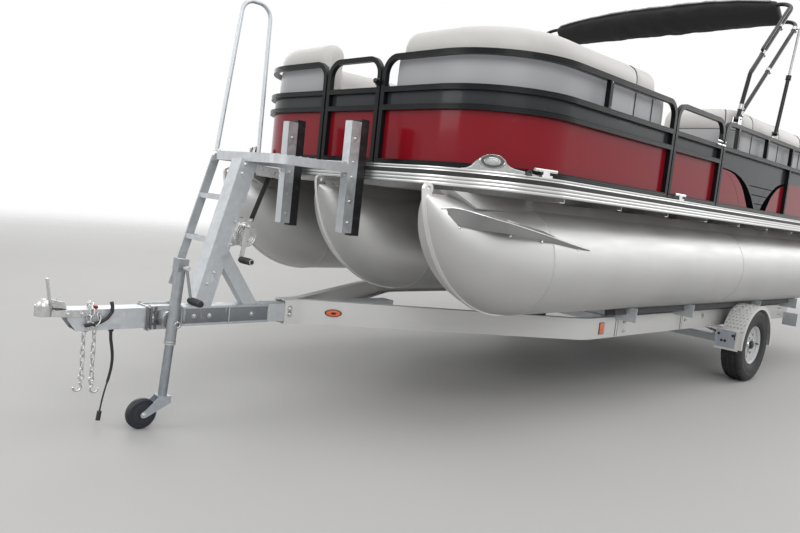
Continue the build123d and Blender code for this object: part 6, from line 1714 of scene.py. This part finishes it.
class STAND_OT_pontoon(bpy.types.Operator):
    """Winch stand, steps, handrail, guide pads and winch"""
    bl_idname = "pontoon.winch_stand"
    bl_label = "Winch stand"

    def execute(self, context):
        look = context.scene.pontoon.trailer
        coat = galvanised("stand_zinc", look.zinc_coat, 46)
        dress(coat, "winch_stand", "handrail")
        zinc = plated("winch_zinc", look.bright, 0.3)
        dress(zinc, "winch")
        web = strap_web("strap_web", (0.014, 0.014, 0.015))
        dress(web, "winch_strap")
        dress(rubber("pad_rubber", (0.008, 0.008, 0.009), 0.5), "guide_pads")
        black = moulded("winch_black", (0.012, 0.012, 0.013), 0.4)
        self.winch(zinc, black, web)
        self.frame(coat, zinc, black)
        return {"FINISHED"}

    def winch(self, zinc, black, web):
        """Toothed gear, drum flanges, wound strap, crank grip and bow roller."""
        mould = Mould()
        gear = at(4425, 54, 970)
        mould.loft([[gear + Vector((r * cos(t), y, r * sin(t))) for t, r in zip(turns(88), (0.0645, 0.0685) * 44)]
                    for y in (0.0005, 0.0125)])
        for r in (0.058, 0.046, 0.034):
            mould.tube([gear + Vector((r * cos(t), 0.0128, r * sin(t))) for t in turns(48)], 0.0022, 8, wrap=True)
        for t in turns(10):
            mould.tube([gear + Vector((r * cos(t), 0.0130, r * sin(t))) for r in (0.022, 0.058)], 0.0018, 6)
        mould.bolt(gear + Vector((0, 0.012, 0)), (0, 1, 0), 0.011)
        for x, z in ((4490, 1040), (4505, 915), (4395, 1048), (4392, 930)):
            for y, way in ((54, 1), (-54, -1)):
                mould.bolt(at(x, y, z), (0, way, 0), 0.0065)
        mould.turned(at(4445, 66, 1020), (0, 1, 0), [(0.016, 0), (0.016, 0.020), (0.013, 0.022)], 16)
        mould.bolt(at(4445, 118, 1020), (0, 1, 0), 0.010)
        mould.piece("winch_gear", zinc, slot="zinc", sharp=30)
        grip(mould, at(4475, 108, 840), [(0.010, 0.002), (0.0165, 0.006), (0.0175, 0.030), (0.0155, 0.060),
                (0.0172, 0.090), (0.0165, 0.112), (0.009, 0.119)], 8, 0.018,
                [(0.0165, -0.0012), (0.0182, 0), (0.0165, 0.0012)])
        # flanges of the drum
        for y, way in ((-50, 1), (50, -1)):
            mould.turned(at(4425, y, 980), (0, way, 0), [(0.047, 0.001), (0.047, 0.004), (0.034, 0.005)], 36)
        mould.piece("winch_grip", black, slot="lead_sheath")
        # strap wound on the drum, and the bow roller with its ears
        drum, half = at(4425, 0, 980), Vector((0, 0.023, 0))
        rings = []
        for k in range(150):
            t = 2 * pi * k / 50
            r = 0.0348 + 0.0032 * k / 50
            centre = drum + Vector((r * cos(t), 0, r * sin(t)))
            thick = Vector((cos(t), 0, sin(t))) * 0.0026
            rings.append([centre - half, centre + half, centre + half + thick, centre - half + thick])
        mould.loft(rings)
        mould.piece("wound_strap", web, slot="strap_web", sharp=50)
        roller = at(4262, 0, 1318)
        mould.turned(roller - Vector((0, 0.040, 0)), (0, 1, 0),
                [(0.030, 0), (0.032, 0.004), (0.024, 0.020), (0.020, 0.040), (0.024, 0.060), (0.032, 0.076),
                (0.030, 0.080)], 32, 1)
        for y in (-0.048, 0.044):
            ear = ((-0.026, -0.026), (0.120, -0.020), (0.150, 0.040), (-0.020, 0.030))
            mould.prism([roller + Vector((x, y, z)) for x, z in ear], (0, 0.004, 0))
            mould.bolt(roller + Vector((0, 0.048 if y > 0 else y, 0)), (0, 1 if y > 0 else -1, 0), 0.008)
        mould.piece("bow_roller", [zinc, black], slot="zinc")

    def frame(self, coat, zinc, black):
        """Bolts of guides and ladder, tread bars of steps and rungs, end caps and the handrail's feet."""
        mould = Mould()
        for flip in (1, -1):
            for z in (1090, 1210, 1345, 1430, 1560):
                for side in (1, -1):
                    mould.bolt(at(3946, (304 + 30 * side) * flip, z), (0, side * flip, 0), 0.0075)
            mould.bolts([at(3980, 304 * flip, z) for z in (1352, 1428)], (1, 0, 0), 0.0085)
        for z, x in ((1156, 4479), (919, 4546)):
            mould.bolt(at(x, -336, z), (0, -1, 0), 0.0085)
            mould.bolt(at(x, -326, z), (0, 1, 0), 0.0085)
        for x, z in ((4625, 700), (4590, 760), (4470, 1300), (4455, 1350)):
            mould.bolt(at(x, 50, z), (0, 1, 0), 0.0085)
            mould.bolt(at(x, -50, z), (0, -1, 0), 0.0085)
        mould.bolt(at(4420, -336, 1392), (0, -1, 0), 0.009)
        for x in (4424, 4152):
            mould.turned(at(x, -315, 1415.4), (0, 0, 1), [(0.026, 0), (0.026, 0.004), (0.016, 0.008),
                    (0.0135, 0.012)], 28)
        mould.piece("stand_bolts", zinc, slot="zinc")
        # raised bars of the step plates
        for row in range(15):
            for column in range(19):
                x, y = 4068 + 24 * row, -270 + 30 * column
                lean = 1 if (row + column) % 2 else -1
                low = [at(x + du * 0.8, y + (dv + lean * du) * 0.8, 1418.2)
                        for du, dv in ((-11, -2.5), (0, -5), (11, 2.5), (0, 5))]
                middle = at(x, y, 1418.2)
                mould.loft([low, [p.lerp(middle, 0.4) + Vector((0, 0, 0.0022)) for p in low]])
        for rung in (919, 1156):
            x = 4635 - (rung - 638) * 0.281
            for k in range(24):
                mould.box(at(x - 17, -322 + 11.5 * k, rung + 14.1), at(x + 17, -317 + 11.5 * k, rung + 15.6))
        mould.piece("step_tread", coat, slot="galvanised")
        for flip in (1, -1):
            # ribbed faces of the pads and the caps of the channels
            for z in range(1024, 1663, 22):
                mould.box(at(3851, 282 * flip, z), at(3853, 326 * flip, z + 9))
            mould.box(at(3913, 276 * flip, 1655.2), at(3979, 332 * flip, 1659))
        for y in (-313, 291):
            mould.box(at(3972, y, 1369), at(3975, y + 22, 1414))
        mould.piece("pad_ribs", black, slot="rail_rubber", bevel=0.001)


class CHAINS_OT_pontoon(bpy.types.Operator):
    """Safety chains: welded links, their end hooks and the spare length over the tongue"""
    bl_idname = "pontoon.chains"
    bl_label = "Safety chains"

    LINK = 0.045

    def execute(self, context):
        zinc = plated("chain_zinc", context.scene.pontoon.trailer.bright, 0.3)
        dress(zinc, "safety_chains")
        mould = Mould()
        for x, y, top, foot in ((5240, 30, 476, 262), (5172, -20, 476, 230)):
            self.run(mould, [at(x, y, top), at(x, y, foot)])
            self.hook(mould, at(x, y, foot - 2), -1 if y > 0 else 1)
        over = ((5238, 34, 474), (5232, 62, 500), (5222, 67, 545), (5216, 62, 590), (5212, 30, 602), (5206, 0, 604),
                (5198, -34, 602), (5190, -64, 588), (5182, -66, 540), (5176, -58, 496), (5172, -22, 473))
        slack = ((5190, 66, 566), (5184, 70, 530), (5206, 70, 500), (5232, 68, 520), (5236, 66, 556))
        for line in (over, slack):
            self.run(mould, [at(*place) for place in line])
        made = mould.piece("chain_links", zinc, slot="zinc", sharp=60)
        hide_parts("safety_chains")
        return {"FINISHED"}

    def run(self, mould, line):
        """Interlocked links along a line."""
        marks = spaced(line, self.LINK - 0.0132)
        for k, (start, end) in enumerate(zip(marks, marks[1:])):
            heading = (end - start).normalized()
            across = heading.orthogonal().normalized()
            across = Matrix.Rotation(pi / 2 * (k % 2) + 0.35 + 0.2 * sin(k * 1.7), 3, heading) @ across
            middle = (start + end) / 2
            straight = self.LINK / 2 - 0.0128
            link = [middle + across * cos(t) * 0.0095
                    + heading * (sin(t) * 0.0095 + straight * (1 if sin(t) > 0 else -1)) for t in turns(16)]
            mould.tube(link, 0.0033, 8, wrap=True)

    def hook(self, mould, top, way):
        """S-hook: a small closed eye above and an open bend below."""
        eye = [(0.011 * cos(radians(a)), -0.010 + 0.011 * sin(radians(a))) for a in range(250, -70, -20)]
        bend = [(way * (-0.016 + 0.019 * cos(radians(a))), -0.058 + 0.019 * sin(radians(a)))
                for a in range(70, -200, -18)]
        mould.tube([top + Vector((x, 0, z)) for x, z in (*eye, (0.004 * way, -0.034), *bend)], 0.0046, 10)


class VIEW3D_PT_pontoon(bpy.types.Panel):
    """Lists the pieces and their finishes"""
    bl_label = "Pontoon boat"
    bl_space_type = "VIEW_3D"
    bl_region_type = "UI"
    bl_category = "Pontoon boat"

    def draw(self, context):
        for operator in OPERATORS:
            self.layout.operator(operator.bl_idname)
        look = context.scene.pontoon
        for group in BoatLook.__annotations__:
            box = self.layout.box()
            box.label(text=group.capitalize())
            values = getattr(look, group)
            for name in type(values).__annotations__:
                box.prop(values, name)


OPERATORS = (STAGE_OT_pontoon, LEAD_OT_pontoon, FLOATS_OT_pontoon, DECK_OT_pontoon, FENCE_OT_pontoon,
             SEATS_OT_pontoon, HELM_OT_pontoon, TOP_OT_pontoon, FITTINGS_OT_pontoon, MOTOR_OT_pontoon,
             TRAILER_OT_pontoon, WHEELS_OT_pontoon, JACK_OT_pontoon, STAND_OT_pontoon, CHAINS_OT_pontoon)
CLASSES = (HullLook, FenceLook, SeatLook, TopLook, MotorLook, TrailerLook, StageLook, BoatLook,
           *OPERATORS, VIEW3D_PT_pontoon)


def register():
    for cls in CLASSES:
        bpy.utils.register_class(cls)
    bpy.types.Scene.pontoon = PointerProperty(type=BoatLook)


def unregister():
    del bpy.types.Scene.pontoon
    for cls in reversed(CLASSES):
        bpy.utils.unregister_class(cls)


def main():
    register()
    for operator in OPERATORS:
        group, name = operator.bl_idname.split(".")
        getattr(getattr(bpy.ops, group), name)()
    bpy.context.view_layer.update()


if __name__ == "__main__":
    main()
